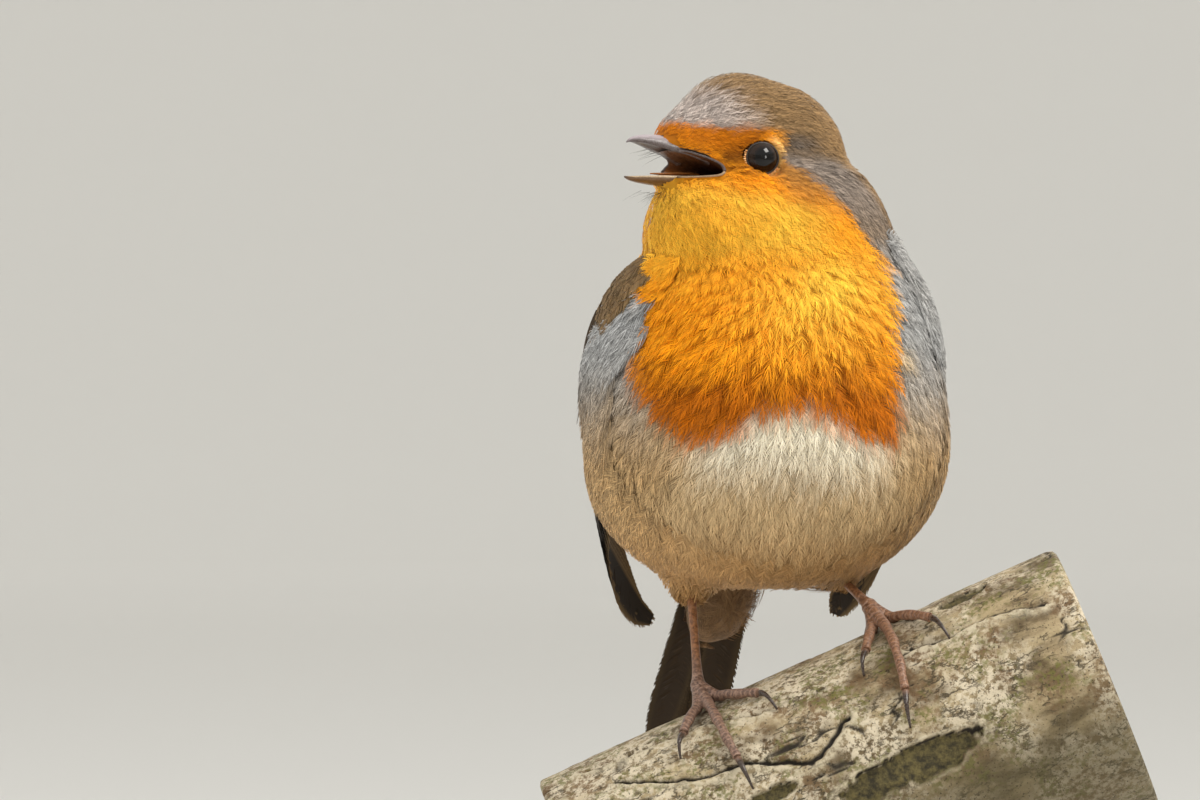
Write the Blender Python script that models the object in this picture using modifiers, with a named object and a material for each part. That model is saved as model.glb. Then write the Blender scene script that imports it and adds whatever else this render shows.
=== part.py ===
"""A European robin (Erithacus rubecula) singing on a cut length of branch: a life-size still model.

Metres, with sizes written in millimetres times MM. +X is right, +Y is away from the front and +Z is
up; the origin is the middle of the display base's underside. The robin faces -Y, with its trunk
turned a little towards +X and its head turned well towards -X. Everything on the bird is placed from
CREST, the highest line of the perch under the middle of the body.

The solids are the outer shape of the plumage. The bird's body is modelled whole, from overlapping
masses that are merged and smoothed, and is then parted into its named pieces by thin cuts.
"""

from math import cos, pi, radians, sin

import bmesh
import bpy
from mathutils import Matrix, Vector

MM = 0.001
GAP = 0.3 * MM  # clearance between neighbouring solids

# Display stand
BASE_RADIUS = 50 * MM
BASE_THICKNESS = 9 * MM
BASE_BEVEL = 1.2 * MM
ROD_RADIUS = 2.2 * MM
ROD_X = (-17 * MM, 21 * MM)

# Perch: a branch that rises to +X, measured along its own axis from under the body
CREST_HEIGHT = 76 * MM
PERCH_SLOPE = radians(22.3)
PERCH_RADIUS = 20 * MM
PERCH_SWELL = 0.035  # radius gained for each unit of length
PERCH_ENDS = (-40 * MM, 47 * MM)
PERCH_SIDES = 36

# Bird: where its frames stand, measured from CREST
TRUNK_YAW = radians(8)
WING_YAW = radians(15)
TRUNK_MIDDLE = Vector((-0.6, 0, 0)) * MM
EYE_LINE = Vector((-6.3, -4.0, 78.5)) * MM  # the point midway between the eyes
HEAD_YAW = radians(-55)
HEAD_PITCH = radians(12.5)
HEAD_CUT = Vector((-2, 0, 67)) * MM
NECK_CUT = Vector((0, 0, 58.5)) * MM

EYE_RADIUS = 3.1 * MM
EYE_CENTRE = Vector((0.6, 7.6, 0.35)) * MM  # the left eye, in the head's frame

TAIL_ROOT = Vector((-30, 0, 28.4)) * MM  # in the trunk's frame
TAIL_DIRECTION = Vector((-0.181, 0.637, -0.749)).normalized()

# How finely the soft forms are made
FLESH_VOXEL = 0.9 * MM
FLESH_SMOOTHING = 10
FLESH_FACES = 2320
RING_POINTS = 28
BILL_RING = 10
WING_RING = 14

CREST = Vector((0, 0, CREST_HEIGHT))

COLOURS = {
    "orange plumage": ((0.85, 0.33, 0.02), 0.85, 0.0),
    "brown plumage": ((0.20, 0.15, 0.10), 0.85, 0.0),
    "grey plumage": ((0.42, 0.40, 0.40), 0.85, 0.0),
    "white plumage": ((0.70, 0.62, 0.50), 0.85, 0.0),
    "dark vanes": ((0.09, 0.07, 0.055), 0.7, 0.0),
    "bill horn": ((0.10, 0.085, 0.08), 0.35, 0.0),
    "mouth lining": ((0.45, 0.17, 0.08), 0.4, 0.0),
    "leg scales": ((0.30, 0.16, 0.11), 0.5, 0.0),
    "claw horn": ((0.04, 0.03, 0.028), 0.35, 0.0),
    "eye": ((0.012, 0.009, 0.008), 0.05, 0.0),
    "bark": ((0.45, 0.42, 0.33), 0.9, 0.0),
    "stained wood": ((0.05, 0.035, 0.025), 0.45, 0.0),
    "steel": ((0.55, 0.55, 0.56), 0.3, 1.0),
}


# ---------------------------------------------------------------- frames


def facing(origin, yaw, pitch=0.0):
    """A frame of forward, left and up at origin. Yaw 0 faces -Y, and a positive yaw turns to +X."""
    turn = Matrix.Rotation(yaw - pi / 2, 4, "Z") @ Matrix.Rotation(-pitch, 4, "Y")
    return Matrix.Translation(origin) @ turn


TRUNK = facing(CREST + TRUNK_MIDDLE, TRUNK_YAW)
SHOULDERS = facing(CREST + TRUNK_MIDDLE, WING_YAW)
HEAD = facing(CREST + EYE_LINE, HEAD_YAW, HEAD_PITCH)


def tail_frame():
    """Forward along the tail towards its tip, left as the bird's left, and up out of its back."""
    left = (Vector((cos(TRUNK_YAW), sin(TRUNK_YAW), 0))).normalized()
    back = TAIL_DIRECTION.cross(left).normalized()
    left = back.cross(TAIL_DIRECTION).normalized()
    back = -back if back.z < 0 else back
    turn = Matrix((TAIL_DIRECTION, left, back)).transposed().to_4x4()
    return Matrix.Translation(TRUNK @ TAIL_ROOT) @ turn


TAIL = tail_frame()


# ---------------------------------------------------------------- collections, materials, meshes


def clear_scene():
    for old in list(bpy.data.objects):
        bpy.data.objects.remove(old)


def new_collection(name):
    collection = bpy.data.collections.new(name)
    bpy.context.scene.collection.children.link(collection)
    return collection


def material(name):
    found = bpy.data.materials.get(name)
    if found:
        return found
    colour, roughness, metallic = COLOURS[name]
    made = bpy.data.materials.new(name)
    made.use_nodes = True
    shader = made.node_tree.nodes["Principled BSDF"]
    shader.inputs["Base Color"].default_value = (*colour, 1.0)
    shader.inputs["Roughness"].default_value = roughness
    shader.inputs["Metallic"].default_value = metallic
    made.diffuse_color = (*colour, 1.0)
    return made


def add_object(name, mesh, finish, collection):
    """Links a mesh as one named piece with its material, shaded smooth away from its sharp edges."""
    obj = bpy.data.objects.new(name, mesh)
    collection.objects.link(obj)
    mesh.materials.clear()
    mesh.materials.append(material(finish))
    mesh.shade_smooth()
    mesh.set_sharp_from_angle(angle=radians(50))
    return obj


def add_cutter(name, mesh):
    obj = bpy.data.objects.new(name, mesh)
    cutters.objects.link(obj)
    obj.hide_render = True
    obj.display_type = "WIRE"
    return obj


def as_mesh(name, bm):
    bmesh.ops.recalc_face_normals(bm, faces=bm.faces)
    mesh = bpy.data.meshes.new(name)
    bm.to_mesh(mesh)
    bm.free()
    return mesh


def evaluated(obj, name):
    """A plain mesh of the object with its modifiers, in world space. The object is removed."""
    bpy.context.view_layer.update()
    graph = bpy.context.evaluated_depsgraph_get()
    mesh = bpy.data.meshes.new_from_object(obj.evaluated_get(graph))
    mesh.transform(obj.matrix_world)
    mesh.name = name
    bpy.data.objects.remove(obj)
    return mesh


# ---------------------------------------------------------------- shapes


def smooth_rows(rows, steps):
    """Rows of numbers with steps intervals between each pair, on a Catmull-Rom curve."""
    found = []
    for i in range(len(rows) - 1):
        around = [rows[max(0, min(len(rows) - 1, i + k))] for k in (-1, 0, 1, 2)]
        for step in range(steps):
            t = step / steps
            found.append([catmull_rom(t, *values) for values in zip(*around)])
    return found + [list(rows[-1])]


def catmull_rom(t, before, start, end, after):
    pull = (end - before) * t + (2 * before - 5 * start + 4 * end - after) * t * t
    return start + 0.5 * (pull + (3 * start - before - 3 * end + after) * t**3)


def loft(name, rings):
    """A closed mesh through rings that have the same number of points, capped at both ends."""
    bm = bmesh.new()
    rows = [[bm.verts.new(point) for point in ring] for ring in rings]
    count = len(rows[0])
    for here, there in zip(rows, rows[1:]):
        for i in range(count):
            j = (i + 1) % count
            bm.faces.new((here[i], here[j], there[j], there[i]))
    bm.faces.new(rows[0])
    bm.faces.new(rows[-1])
    bmesh.ops.triangulate(bm, faces=[f for f in bm.faces if len(f.verts) > 4])
    return as_mesh(name, bm)


def oval(centre, across, along, points=RING_POINTS, squareness=2.0):
    """A ring of points: a superellipse about centre, with two half-axis vectors."""
    ring = []
    for i in range(points):
        angle = 2 * pi * i / points
        c, s = cos(angle), sin(angle)
        size = (abs(c) ** squareness + abs(s) ** squareness) ** (-1 / squareness)
        ring.append(centre + across * (c * size) + along * (s * size))
    return ring


def ellipsoid(name, frame, centre, radii, sides=32):
    """A sphere stretched to three radii, at a centre in a frame. All are in millimetres."""
    bm = bmesh.new()
    bmesh.ops.create_uvsphere(bm, u_segments=sides, v_segments=sides // 2, radius=1.0)
    size = Matrix.Diagonal((*[r * MM for r in radii], 1.0))
    place = frame @ Matrix.Translation(Vector(centre) * MM)
    bmesh.ops.transform(bm, matrix=place @ size, verts=bm.verts)
    return as_mesh(name, bm)


def tube(name, points, radii, sides=10):
    """A tapered tube through points, from a curve with a bevel, as a closed mesh in world space."""
    curve = bpy.data.curves.new(name, "CURVE")
    curve.dimensions = "3D"
    curve.bevel_depth = 1.0
    curve.bevel_resolution = max(0, sides // 4)
    curve.use_fill_caps = True
    spline = curve.splines.new("POLY")
    spline.points.add(len(points) - 1)
    for target, point, radius in zip(spline.points, points, radii):
        target.co = (*point, 1.0)
        target.radius = radius
    obj = bpy.data.objects.new(name, curve)
    cutters.objects.link(obj)
    mesh = evaluated(obj, name)
    bm = bmesh.new()
    bm.from_mesh(mesh)
    bmesh.ops.remove_doubles(bm, verts=bm.verts, dist=0.001 * MM)
    bpy.data.meshes.remove(mesh)
    return as_mesh(name, bm)


def inflated(name, mesh, distance):
    """A copy of a mesh with its surface moved outwards."""
    bm = bmesh.new()
    bm.from_mesh(mesh)
    bm.normal_update()
    for vert, normal in [(v, v.normal.copy()) for v in bm.verts]:
        vert.co += normal * distance
    return as_mesh(name, bm)


def joined(name, meshes):
    bm = bmesh.new()
    for mesh in meshes:
        bm.from_mesh(mesh)
    return as_mesh(name, bm)


def merged_form(name, meshes, voxel, smoothing, faces):
    """Overlapping closed meshes melted into one smooth closed surface of about so many triangles."""
    obj = bpy.data.objects.new(name, joined(name, meshes))
    cutters.objects.link(obj)
    remesh = obj.modifiers.new("melt", "REMESH")
    remesh.mode = "VOXEL"
    remesh.voxel_size = voxel
    smooth = obj.modifiers.new("soften", "SMOOTH")
    smooth.factor = 0.5
    smooth.iterations = smoothing
    mesh = evaluated(obj, name)
    obj = bpy.data.objects.new(name, mesh)
    cutters.objects.link(obj)
    decimate = obj.modifiers.new("coarsen", "DECIMATE")
    decimate.ratio = min(1.0, faces / (2 * len(mesh.polygons)))
    decimate.use_collapse_triangulate = True
    return evaluated(obj, name)


def carved(name, mesh, *cutting, operation="DIFFERENCE"):
    """A mesh with others cut from it, or with only what is inside another kept."""
    obj = bpy.data.objects.new(name, mesh.copy())
    cutters.objects.link(obj)
    helpers = [add_cutter(f"{name}_cut_{i}", other) for i, other in enumerate(cutting)]
    for helper in helpers:
        cut = obj.modifiers.new("cut", "BOOLEAN")
        cut.operation = operation
        cut.solver = "EXACT"
        cut.object = helper
    mesh = evaluated(obj, name)
    for helper in helpers:
        bpy.data.objects.remove(helper)
    return mesh


def sliced(name, mesh, point, normal):
    """The side of a mesh that its cutting plane's normal points away from, with the cut closed."""
    bm = bmesh.new()
    bm.from_mesh(mesh)
    everything = bm.verts[:] + bm.edges[:] + bm.faces[:]
    bmesh.ops.bisect_plane(
        bm, geom=everything, plane_co=point, plane_no=normal, clear_outer=True
    )
    rim = [edge for edge in bm.edges if edge.is_boundary]
    bmesh.ops.triangle_fill(bm, edges=rim, use_beauty=True)
    return as_mesh(name, bm)


def parted(mesh, point, normal, low_name, high_name):
    """The two sides of a thin plane cut: the piece behind the plane, then the piece before it."""
    normal = normal.normalized()
    half = normal * (GAP / 2)
    return (
        sliced(low_name, mesh, point - half, normal),
        sliced(high_name, mesh, point + half, -normal),
    )


# ---------------------------------------------------------------- body


def trunk_form():
    """Neck, breast, belly and back: level ovals from the belly's underside up into the head."""
    # height above the perch, half width, reach forwards, reach backwards
    rows = [
        (13.2, 6.0, -1.0, -15.0),
        (14.4, 12.0, 5.5, -22.0),
        (17.2, 18.4, 11.0, -28.5),
        (22.5, 24.0, 17.0, -33.0),
        (28.0, 26.8, 21.6, -34.5),
        (33.0, 27.7, 24.6, -33.8),
        (38.0, 27.5, 26.4, -32.0),
        (43.0, 26.7, 27.2, -29.8),
        (48.0, 25.7, 26.9, -27.0),
        (53.0, 24.5, 25.6, -23.8),
        (58.0, 22.9, 23.6, -20.6),
        (63.0, 20.9, 21.0, -17.6),
        (68.0, 19.0, 18.4, -14.8),
        (73.0, 16.6, 16.4, -12.4),
        (78.0, 12.8, 13.4, -10.6),
    ]
    forward = TRUNK.to_3x3() @ Vector((1, 0, 0))
    left = TRUNK.to_3x3() @ Vector((0, 1, 0))
    rings = []
    for height, half_width, front, back in smooth_rows(rows, 3):
        centre = TRUNK @ (Vector(((front + back) / 2, 0, height)) * MM)
        depth = (front - back) / 2
        rings.append(oval(centre, left * half_width * MM, forward * depth * MM, squareness=2.15))
    return loft("trunk_form", rings)


def tail_coverts_form():
    """The feathers over and under the tail's root: long below, shorter above."""
    # distance along the tail, height of the middle over the tail, half width, half depth
    rows = [
        (-14, -1.0, 12.5, 12.5),
        (-6, -2.0, 11.0, 11.0),
        (2, -2.6, 9.3, 8.4),
        (10, -3.0, 7.8, 6.2),
        (17, -3.3, 6.8, 4.6),
        (23, -3.2, 5.9, 3.3),
        (28, -2.6, 4.6, 2.2),
        (31, -2.1, 2.4, 1.2),
    ]
    left = TAIL.to_3x3() @ Vector((0, 1, 0))
    up = TAIL.to_3x3() @ Vector((0, 0, 1))
    rings = []
    for along, height, half_width, half_depth in smooth_rows(rows, 2):
        centre = TAIL @ (Vector((along, 0, height)) * MM)
        rings.append(oval(centre, left * half_width * MM, up * half_depth * MM))
    return loft("tail_coverts_form", rings)


def head_masses():
    """The skull's plumage: braincase, brow, face, cheeks, chin and the fluffed throat."""
    masses = [
        ("braincase", (-5.4, 0, 1.6), (14.0, 10.4, 12.4)),
        ("crown", (-0.4, 0, 4.0), (11.8, 8.8, 10.0)),
        ("face", (4.8, 0, 0.6), (10.5, 5.9, 8.2)),
        ("lores", (9.2, 0, -0.6), (6.0, 3.9, 4.4)),
        ("left_cheek", (-2.8, 4.4, -6.2), (9.2, 6.4, 7.6)),
        ("right_cheek", (-2.8, -4.4, -6.2), (9.2, 6.4, 7.6)),
        ("chin", (4.2, 0, -9.2), (8.4, 6.0, 4.8)),
        ("nape", (-10.0, 1.0, -6.0), (10.5, 10.6, 13.0)),
    ]
    found = [ellipsoid(name, HEAD, centre, radii) for name, centre, radii in masses]
    throat = ellipsoid("throat", TRUNK, (6.5, -6.6, 67.0), (12.6, 14.6, 13.0))
    return found + [throat]


def bill_rings(rows):
    """Rings across the bill, from rows of distance forward, half width, top and bottom."""
    forward_up = HEAD.to_3x3()
    left, up = forward_up @ Vector((0, 1, 0)), forward_up @ Vector((0, 0, 1))
    rings = []
    for forward, half_width, top, bottom in smooth_rows(rows, 2):
        centre = HEAD @ (Vector((forward, 0, (top + bottom) / 2)) * MM)
        half = (top - bottom) / 2 * MM
        rings.append(oval(centre, left * half_width * MM, up * half, points=BILL_RING))
    return rings


def upper_bill_mesh():
    rows = [
        (5.0, 4.6, -1.0, -2.9),
        (8.0, 4.1, 0.2, -2.3),
        (11.0, 3.4, 0.8, -1.75),
        (14.0, 2.6, 0.9, -1.35),
        (16.6, 1.9, 0.5, -1.05),
        (18.6, 1.15, -0.05, -1.0),
        (19.8, 0.5, -0.75, -1.3),
        (20.3, 0.2, -1.25, -1.65),
    ]
    return loft("bill_upper", bill_rings(rows))


def lower_bill_mesh():
    rows = [
        (5.0, 4.6, -3.4, -4.8),
        (8.0, 4.1, -4.1, -5.6),
        (11.0, 3.3, -4.75, -6.3),
        (14.0, 2.5, -5.4, -6.9),
        (16.8, 1.6, -6.05, -7.2),
        (18.7, 0.8, -6.5, -7.15),
        (19.6, 0.2, -6.65, -7.05),
    ]
    return loft("bill_lower", bill_rings(rows))


def mouth_mesh():
    """The open gape between the two halves of the bill, back to the corners of the mouth."""
    rows = [
        (3.4, 5.4, -3.2, -3.6),
        (5.2, 7.6, -2.8, -3.8),
        (8.0, 7.6, -2.1, -4.3),
        (13.0, 6.2, -1.7, -5.3),
        (22.0, 5.0, -0.6, -7.5),
    ]
    return loft("mouth", bill_rings(rows))


def tongue_mesh():
    rows = [
        (7.5, 1.1, -2.95, -3.5),
        (10.0, 1.2, -3.4, -3.95),
        (12.5, 0.9, -4.0, -4.55),
        (15.0, 0.3, -4.75, -5.25),
    ]
    return loft("tongue", bill_rings(rows))


def eye_mesh(name, side, radius):
    """A ball with its poles on the sight axis."""
    bm = bmesh.new()
    bmesh.ops.create_uvsphere(bm, u_segments=14, v_segments=8, radius=radius)
    centre = Vector((EYE_CENTRE.x, side * EYE_CENTRE.y, EYE_CENTRE.z))
    place = HEAD @ Matrix.Translation(centre) @ Matrix.Rotation(pi / 2, 4, "X")
    bmesh.ops.transform(bm, matrix=place, verts=bm.verts)
    return as_mesh(name, bm)


def eye_hollow(side):
    """The shallow dish in the plumage that an eye looks out of."""
    return ellipsoid("hollow", HEAD, (0.9, side * 11.2, 0.35), (3.0, 3.4, 2.8), sides=12)


def build_body():
    """Makes the head, neck, trunk, tail coverts, bill, tongue and eyes. Returns the whole body."""
    masses = [trunk_form(), tail_coverts_form(), *head_masses()]
    body = merged_form("body", masses, FLESH_VOXEL, FLESH_SMOOTHING, FLESH_FACES)

    up = Vector((0, 0, 1))
    to_front = TRUNK.to_3x3() @ Vector((1, 0, 0))
    below, head = parted(body, CREST + HEAD_CUT, up + 0.22 * Vector((1, 0, 0)), "below", "head")
    below, neck = parted(below, CREST + NECK_CUT, up - 0.25 * to_front, "below", "neck")
    coverts_cut = TAIL @ (Vector((0.5, 0, 0)) * MM)
    trunk, coverts = parted(below, coverts_cut, TAIL_DIRECTION, "trunk", "tail_coverts")

    sockets = [eye_mesh("socket", side, EYE_RADIUS + GAP) for side in (1, -1)]
    hollows = [eye_hollow(side) for side in (1, -1)]
    upper, lower = upper_bill_mesh(), lower_bill_mesh()
    beds = [inflated("bed", mesh, GAP) for mesh in (upper, lower)]
    head = carved("head", head, *sockets, *hollows, *beds, mouth_mesh())

    add_object("head", head, "orange plumage", robin)
    add_object("neck", neck, "orange plumage", robin)
    add_object("trunk", trunk, "white plumage", robin)
    add_object("tail_coverts", coverts, "white plumage", robin)
    add_object("bill_upper", upper, "bill horn", robin)
    add_object("bill_lower", lower, "bill horn", robin)
    add_object("tongue", tongue_mesh(), "mouth lining", robin)
    for side, name in ((1, "eye_left"), (-1, "eye_right")):
        add_object(name, eye_mesh(name, side, EYE_RADIUS), "eye", robin)
    return body


# ---------------------------------------------------------------- wings and tail


def eased(share):
    """0 to 1 with a soft start and end."""
    share = min(1.0, max(0.0, share))
    return share * share * (3 - 2 * share)


def wing_mesh(name, side, inset, tip_side, tuck):
    """A folded wing: lens-shaped rings from the shoulder to the tip, which lie along the flank.

    Towards its tip the wing turns flat over the rump, and tuck brings it in by that much.
    """
    # forward, outward, up, half width down the flank, half thickness
    rows = [
        (9.0, 19.9, 62.0, 2.5, 1.2),
        (6.0, 22.9, 59.0, 6.5, 2.4),
        (-1.0, 25.7, 52.5, 9.5, 3.0),
        (-9.5, 26.2, 44.5, 11.0, 3.1),
        (-18.0, 24.6, 36.0, 10.6, 2.9),
        (-26.0, 22.6, 27.0, 8.4, 2.4),
        (-33.0, 19.6, 19.0, 5.8, 1.8),
        (-38.8, 16.8, 13.0, 4.4, 1.3),
        (-42.0, 15.0, 9.6, 3.2, 0.9),
        (-43.6, 14.2, 8.0, 1.3, 0.4),
    ]
    rows = smooth_rows(rows, 2)
    last = len(rows) - 1
    tip_shift = tip_side - rows[-1][1]
    turned = [eased((i / last - 0.4) / 0.42) for i in range(last + 1)]
    centres = []
    for i, (forward, outward, up, _, _) in enumerate(rows):
        ease = (i / last) ** 2
        outward += tip_shift * ease - inset * (1 - ease) - tuck * turned[i]
        centres.append(SHOULDERS @ (Vector((forward, side * outward, up)) * MM))
    upright = SHOULDERS.to_3x3() @ Vector((0.05, side, 0.22))
    folded_over = SHOULDERS.to_3x3() @ Vector((-0.6, 0.6 * side, 0.42))
    rings = []
    for i, row in enumerate(rows):
        along = centres[min(i + 1, last)] - centres[max(i - 1, 0)]
        across = along.cross(upright.lerp(folded_over, turned[i])).normalized()
        outward = across.cross(along).normalized()
        rings.append(oval(centres[i], across * row[3] * MM, outward * row[4] * MM, points=WING_RING))
    return loft(name, rings)


def build_wings(body):
    """Both folded wings, each parted into its covert-covered arm and its flight feathers."""
    bed = inflated("bed", body, GAP)
    for side, word, inset, tip_side, tuck in ((1, "left", 2.6, 22.0, 0.0), (-1, "right", 2.1, 8.6, 2.2)):
        wing = carved("wing", wing_mesh("wing", side, inset, tip_side, tuck), bed.copy())
        wing = largest_body("wing", wing)
        middle = SHOULDERS @ (Vector((-14, side * 25, 38)) * MM)
        rearward = SHOULDERS.to_3x3() @ Vector((-0.75, 0, -0.66))
        arm, flight = parted(wing, middle, rearward, "arm", "flight")
        add_object(f"wing_{word}", arm, "brown plumage", robin)
        add_object(f"primaries_{word}", flight, "dark vanes", robin)


def largest_body(name, mesh):
    """Only the biggest connected piece of a mesh, without the slivers that a cut leaves."""
    bm = bmesh.new()
    bm.from_mesh(mesh)
    bm.verts.ensure_lookup_table()
    unseen, pieces = set(bm.verts), []
    while unseen:
        piece, edge_of_search = set(), [next(iter(unseen))]
        while edge_of_search:
            vert = edge_of_search.pop()
            if vert in piece:
                continue
            piece.add(vert)
            edge_of_search.extend(edge.other_vert(vert) for edge in vert.link_edges)
        unseen -= piece
        pieces.append(piece)
    keep = max(pieces, key=len)
    bmesh.ops.delete(bm, geom=[v for v in bm.verts if v not in keep], context="VERTS")
    return as_mesh(name, bm)


def build_tail(body):
    """The closed tail: a shallow roof of twelve feathers, a little notched at its end."""
    # distance along the tail, half width, half thickness
    rows = [
        (3.0, 4.4, 1.1),
        (14.0, 4.9, 1.1),
        (28.0, 5.3, 1.0),
        (42.0, 5.8, 0.85),
        (52.0, 6.2, 0.7),
        (56.0, 6.0, 0.55),
        (57.0, 5.3, 0.4),
    ]
    turn = TAIL.to_3x3()
    left, up = turn @ Vector((0, 1, 0)), turn @ Vector((0, 0, 1))
    rings = []
    for along, half_width, half_thickness in rows:
        ring = oval(Vector((0, 0, 0)), left * half_width * MM, up * half_thickness * MM, points=WING_RING)
        rings.append([TAIL @ (Vector((along, 0, 1.4)) * MM) + roofed(p, left, up) for p in ring])
    plate = carved("tail", loft("tail", rings), inflated("bed", body, GAP))
    add_object("tail", largest_body("tail", plate), "dark vanes", robin)


def roofed(point, left, up):
    """A point of the flat tail bent down towards the tail's edges."""
    aside = point.dot(left) / MM
    return point - up * (0.028 * aside * aside * MM)


# ---------------------------------------------------------------- legs and feet


def perch_radius(along):
    return PERCH_RADIUS + PERCH_SWELL * along


def on_perch(along, turn, lift):
    """A point over the branch's surface: along its axis in mm, degrees forward of its top, lift."""
    axis = Vector((cos(PERCH_SLOPE), 0, sin(PERCH_SLOPE)))
    top = Vector((-sin(PERCH_SLOPE), 0, cos(PERCH_SLOPE)))
    centre = CREST - top * PERCH_RADIUS + axis * along * MM
    angle = radians(turn)
    outward = top * cos(angle) + Vector((0, -1, 0)) * sin(angle)
    return centre + outward * (perch_radius(along * MM) + lift * MM)


# Each foot: where its tarsus ends, then for each toe the stations that its pads rest at, as
# (mm along the branch, degrees forward of its top), ending at the toe's end and at the claw's tip.
FEET = {
    "right": {
        "hub": (-11.6, 5, 3.3),
        "heel": (-13.4, 10.4, 20.3),
        "cuff": 0.48,
        "toes": {
            1: [(-12.0, -12), (-12.8, -30), (-13.2, -47)],
            2: [(-9.4, 10), (-6.4, 20), (-3.6, 27), (-1.8, 41)],
            3: [(-11.2, 16), (-10.9, 32), (-10.6, 47), (-10.2, 58), (-9.8, 74)],
            4: [(-13.0, 14), (-15.0, 24), (-16.4, 32), (-18.3, 45)],
        },
    },
    "left": {
        "hub": (17.4, 4, 3.6),
        "heel": (4.2, 17.2, 20.6),
        "cuff": 0.68,
        "toes": {
            1: [(16.6, -11), (15.4, -27), (14.0, -42)],
            2: [(16.6, 12), (15.4, 22), (14.2, 31), (12.4, 44)],
            3: [(18.4, 17), (18.6, 33), (18.2, 48), (17.4, 60), (15.9, 76)],
            4: [(19.8, 9), (22.6, 18), (25.2, 28), (26.7, 44)],
        },
    },
}
TOE_RADIUS = 1.0  # mm
PAD_RADIUS = 1.22
CLAW_RADIUS = 0.62
CLAW_TIP_RADIUS = 0.26


def toe_points(hub, stations):
    """The toe's centre line and radii: thick pads where it rests, thinner between the pads."""
    rests = [on_perch(along, turn, PAD_RADIUS + 0.35) for along, turn in stations]
    points, radii = [hub, hub.lerp(rests[0], 0.5)], [1.25 * MM, TOE_RADIUS * MM]
    for i, rest in enumerate(rests):
        points.append(rest)
        radii.append(PAD_RADIUS * MM * (1 - 0.07 * i))
        if i + 1 < len(rests):
            along = (stations[i][0] + stations[i + 1][0]) / 2
            turn = (stations[i][1] + stations[i + 1][1]) / 2
            points.append(on_perch(along, turn, PAD_RADIUS + 0.45))
            radii.append(TOE_RADIUS * MM * (1 - 0.08 * i))
    return points, radii


def claw_mesh(name, start, tip, outward):
    """A curved claw from the end of its toe to its tip, arched away from the branch."""
    points, radii = [], []
    for step in range(6):
        t = step / 5
        arch = outward * (1.5 * MM * 4 * t * (1 - t) * (0.55 + 0.45 * t))
        points.append(start.lerp(tip, t) + arch)
        radii.append((CLAW_RADIUS + (CLAW_TIP_RADIUS - CLAW_RADIUS) * t) * MM)
    return tube(name, points, radii, sides=6)


def build_leg(word):
    """A bare tarsus, a foot of four toes with their pads, and four claws."""
    pose = FEET[word]
    hub = on_perch(*pose["hub"])
    heel = CREST + Vector(pose["heel"]) * MM
    down = (hub - heel).normalized()
    toes = []
    for number, stations in pose["toes"].items():
        points, radii = toe_points(hub, stations[:-1])
        toes.append(tube("toe", points, radii, sides=12))
        outward = on_perch(*stations[-2], 2) - on_perch(*stations[-2], 1)
        outward.normalize()
        toe_end, last = points[-1], (points[-1] - points[-2]).normalized()
        claw_start = toe_end + last * (GAP * 1.4)
        claw_tip = on_perch(*stations[-1], 0.75)
        claw = claw_mesh("claw", claw_start, claw_tip, outward)
        add_object(f"claw_{word}_{number}", claw, "claw horn", robin)
    ankle = tube("ankle", [hub - down * 2.4 * MM, hub], [1.15 * MM, 1.5 * MM], sides=12)
    foot = merged_form("foot", [*toes, ankle], 0.34 * MM, 3, 430)
    add_object(f"foot_{word}", foot, "leg scales", robin)
    low = hub - down * (2.4 * MM + GAP * 1.5)
    points = [heel.lerp(low, t) for t in (0, 0.1, 0.3, 0.7, 0.92, 1)]
    radii = [r * MM for r in (1.5, 1.2, 0.92, 0.86, 1.0, 1.12)]
    return tube("tarsus", points, radii, sides=12)


def build_legs(body):
    """Legs and thighs: the upper end of each tarsus is sunk in the belly's plumage."""
    bed = inflated("bed", body, GAP)
    for word in ("left", "right"):
        tarsus = build_leg(word)
        heel = CREST + Vector(FEET[word]["heel"]) * MM
        hub = on_perch(*FEET[word]["hub"])
        spots = [heel.lerp(hub, t * FEET[word]["cuff"]) for t in (0, 0.4, 0.75, 1)]
        thigh = tube("thigh", spots, [r * MM for r in (5.4, 4.8, 3.6, 1.9)], 16)
        thigh = carved("thigh", thigh, bed.copy(), inflated("bed", tarsus, GAP))
        thigh = largest_body("thigh", thigh)
        shown = carved("tarsus", tarsus, bed.copy())
        add_object(f"tarsus_{word}", largest_body("tarsus", shown), "leg scales", robin)
        add_object(f"thigh_{word}", thigh, "white plumage", robin)


# ---------------------------------------------------------------- perch and stand


def perch_mesh():
    """A tapered round branch whose cut ends are square to it."""
    axis = Vector((cos(PERCH_SLOPE), 0, sin(PERCH_SLOPE)))
    top = Vector((-sin(PERCH_SLOPE), 0, cos(PERCH_SLOPE)))
    front = Vector((0, -1, 0))
    start, end = PERCH_ENDS
    bevel = 0.8 * MM
    rings = []
    for along in (start, start + bevel, start + (end - start) / 2, end - bevel, end):
        radius = perch_radius(along) - (bevel if along in PERCH_ENDS else 0)
        centre = CREST - top * PERCH_RADIUS + axis * along
        rings.append(oval(centre, top * radius, front * radius, points=PERCH_SIDES))
    return loft("perch", rings)


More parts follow.
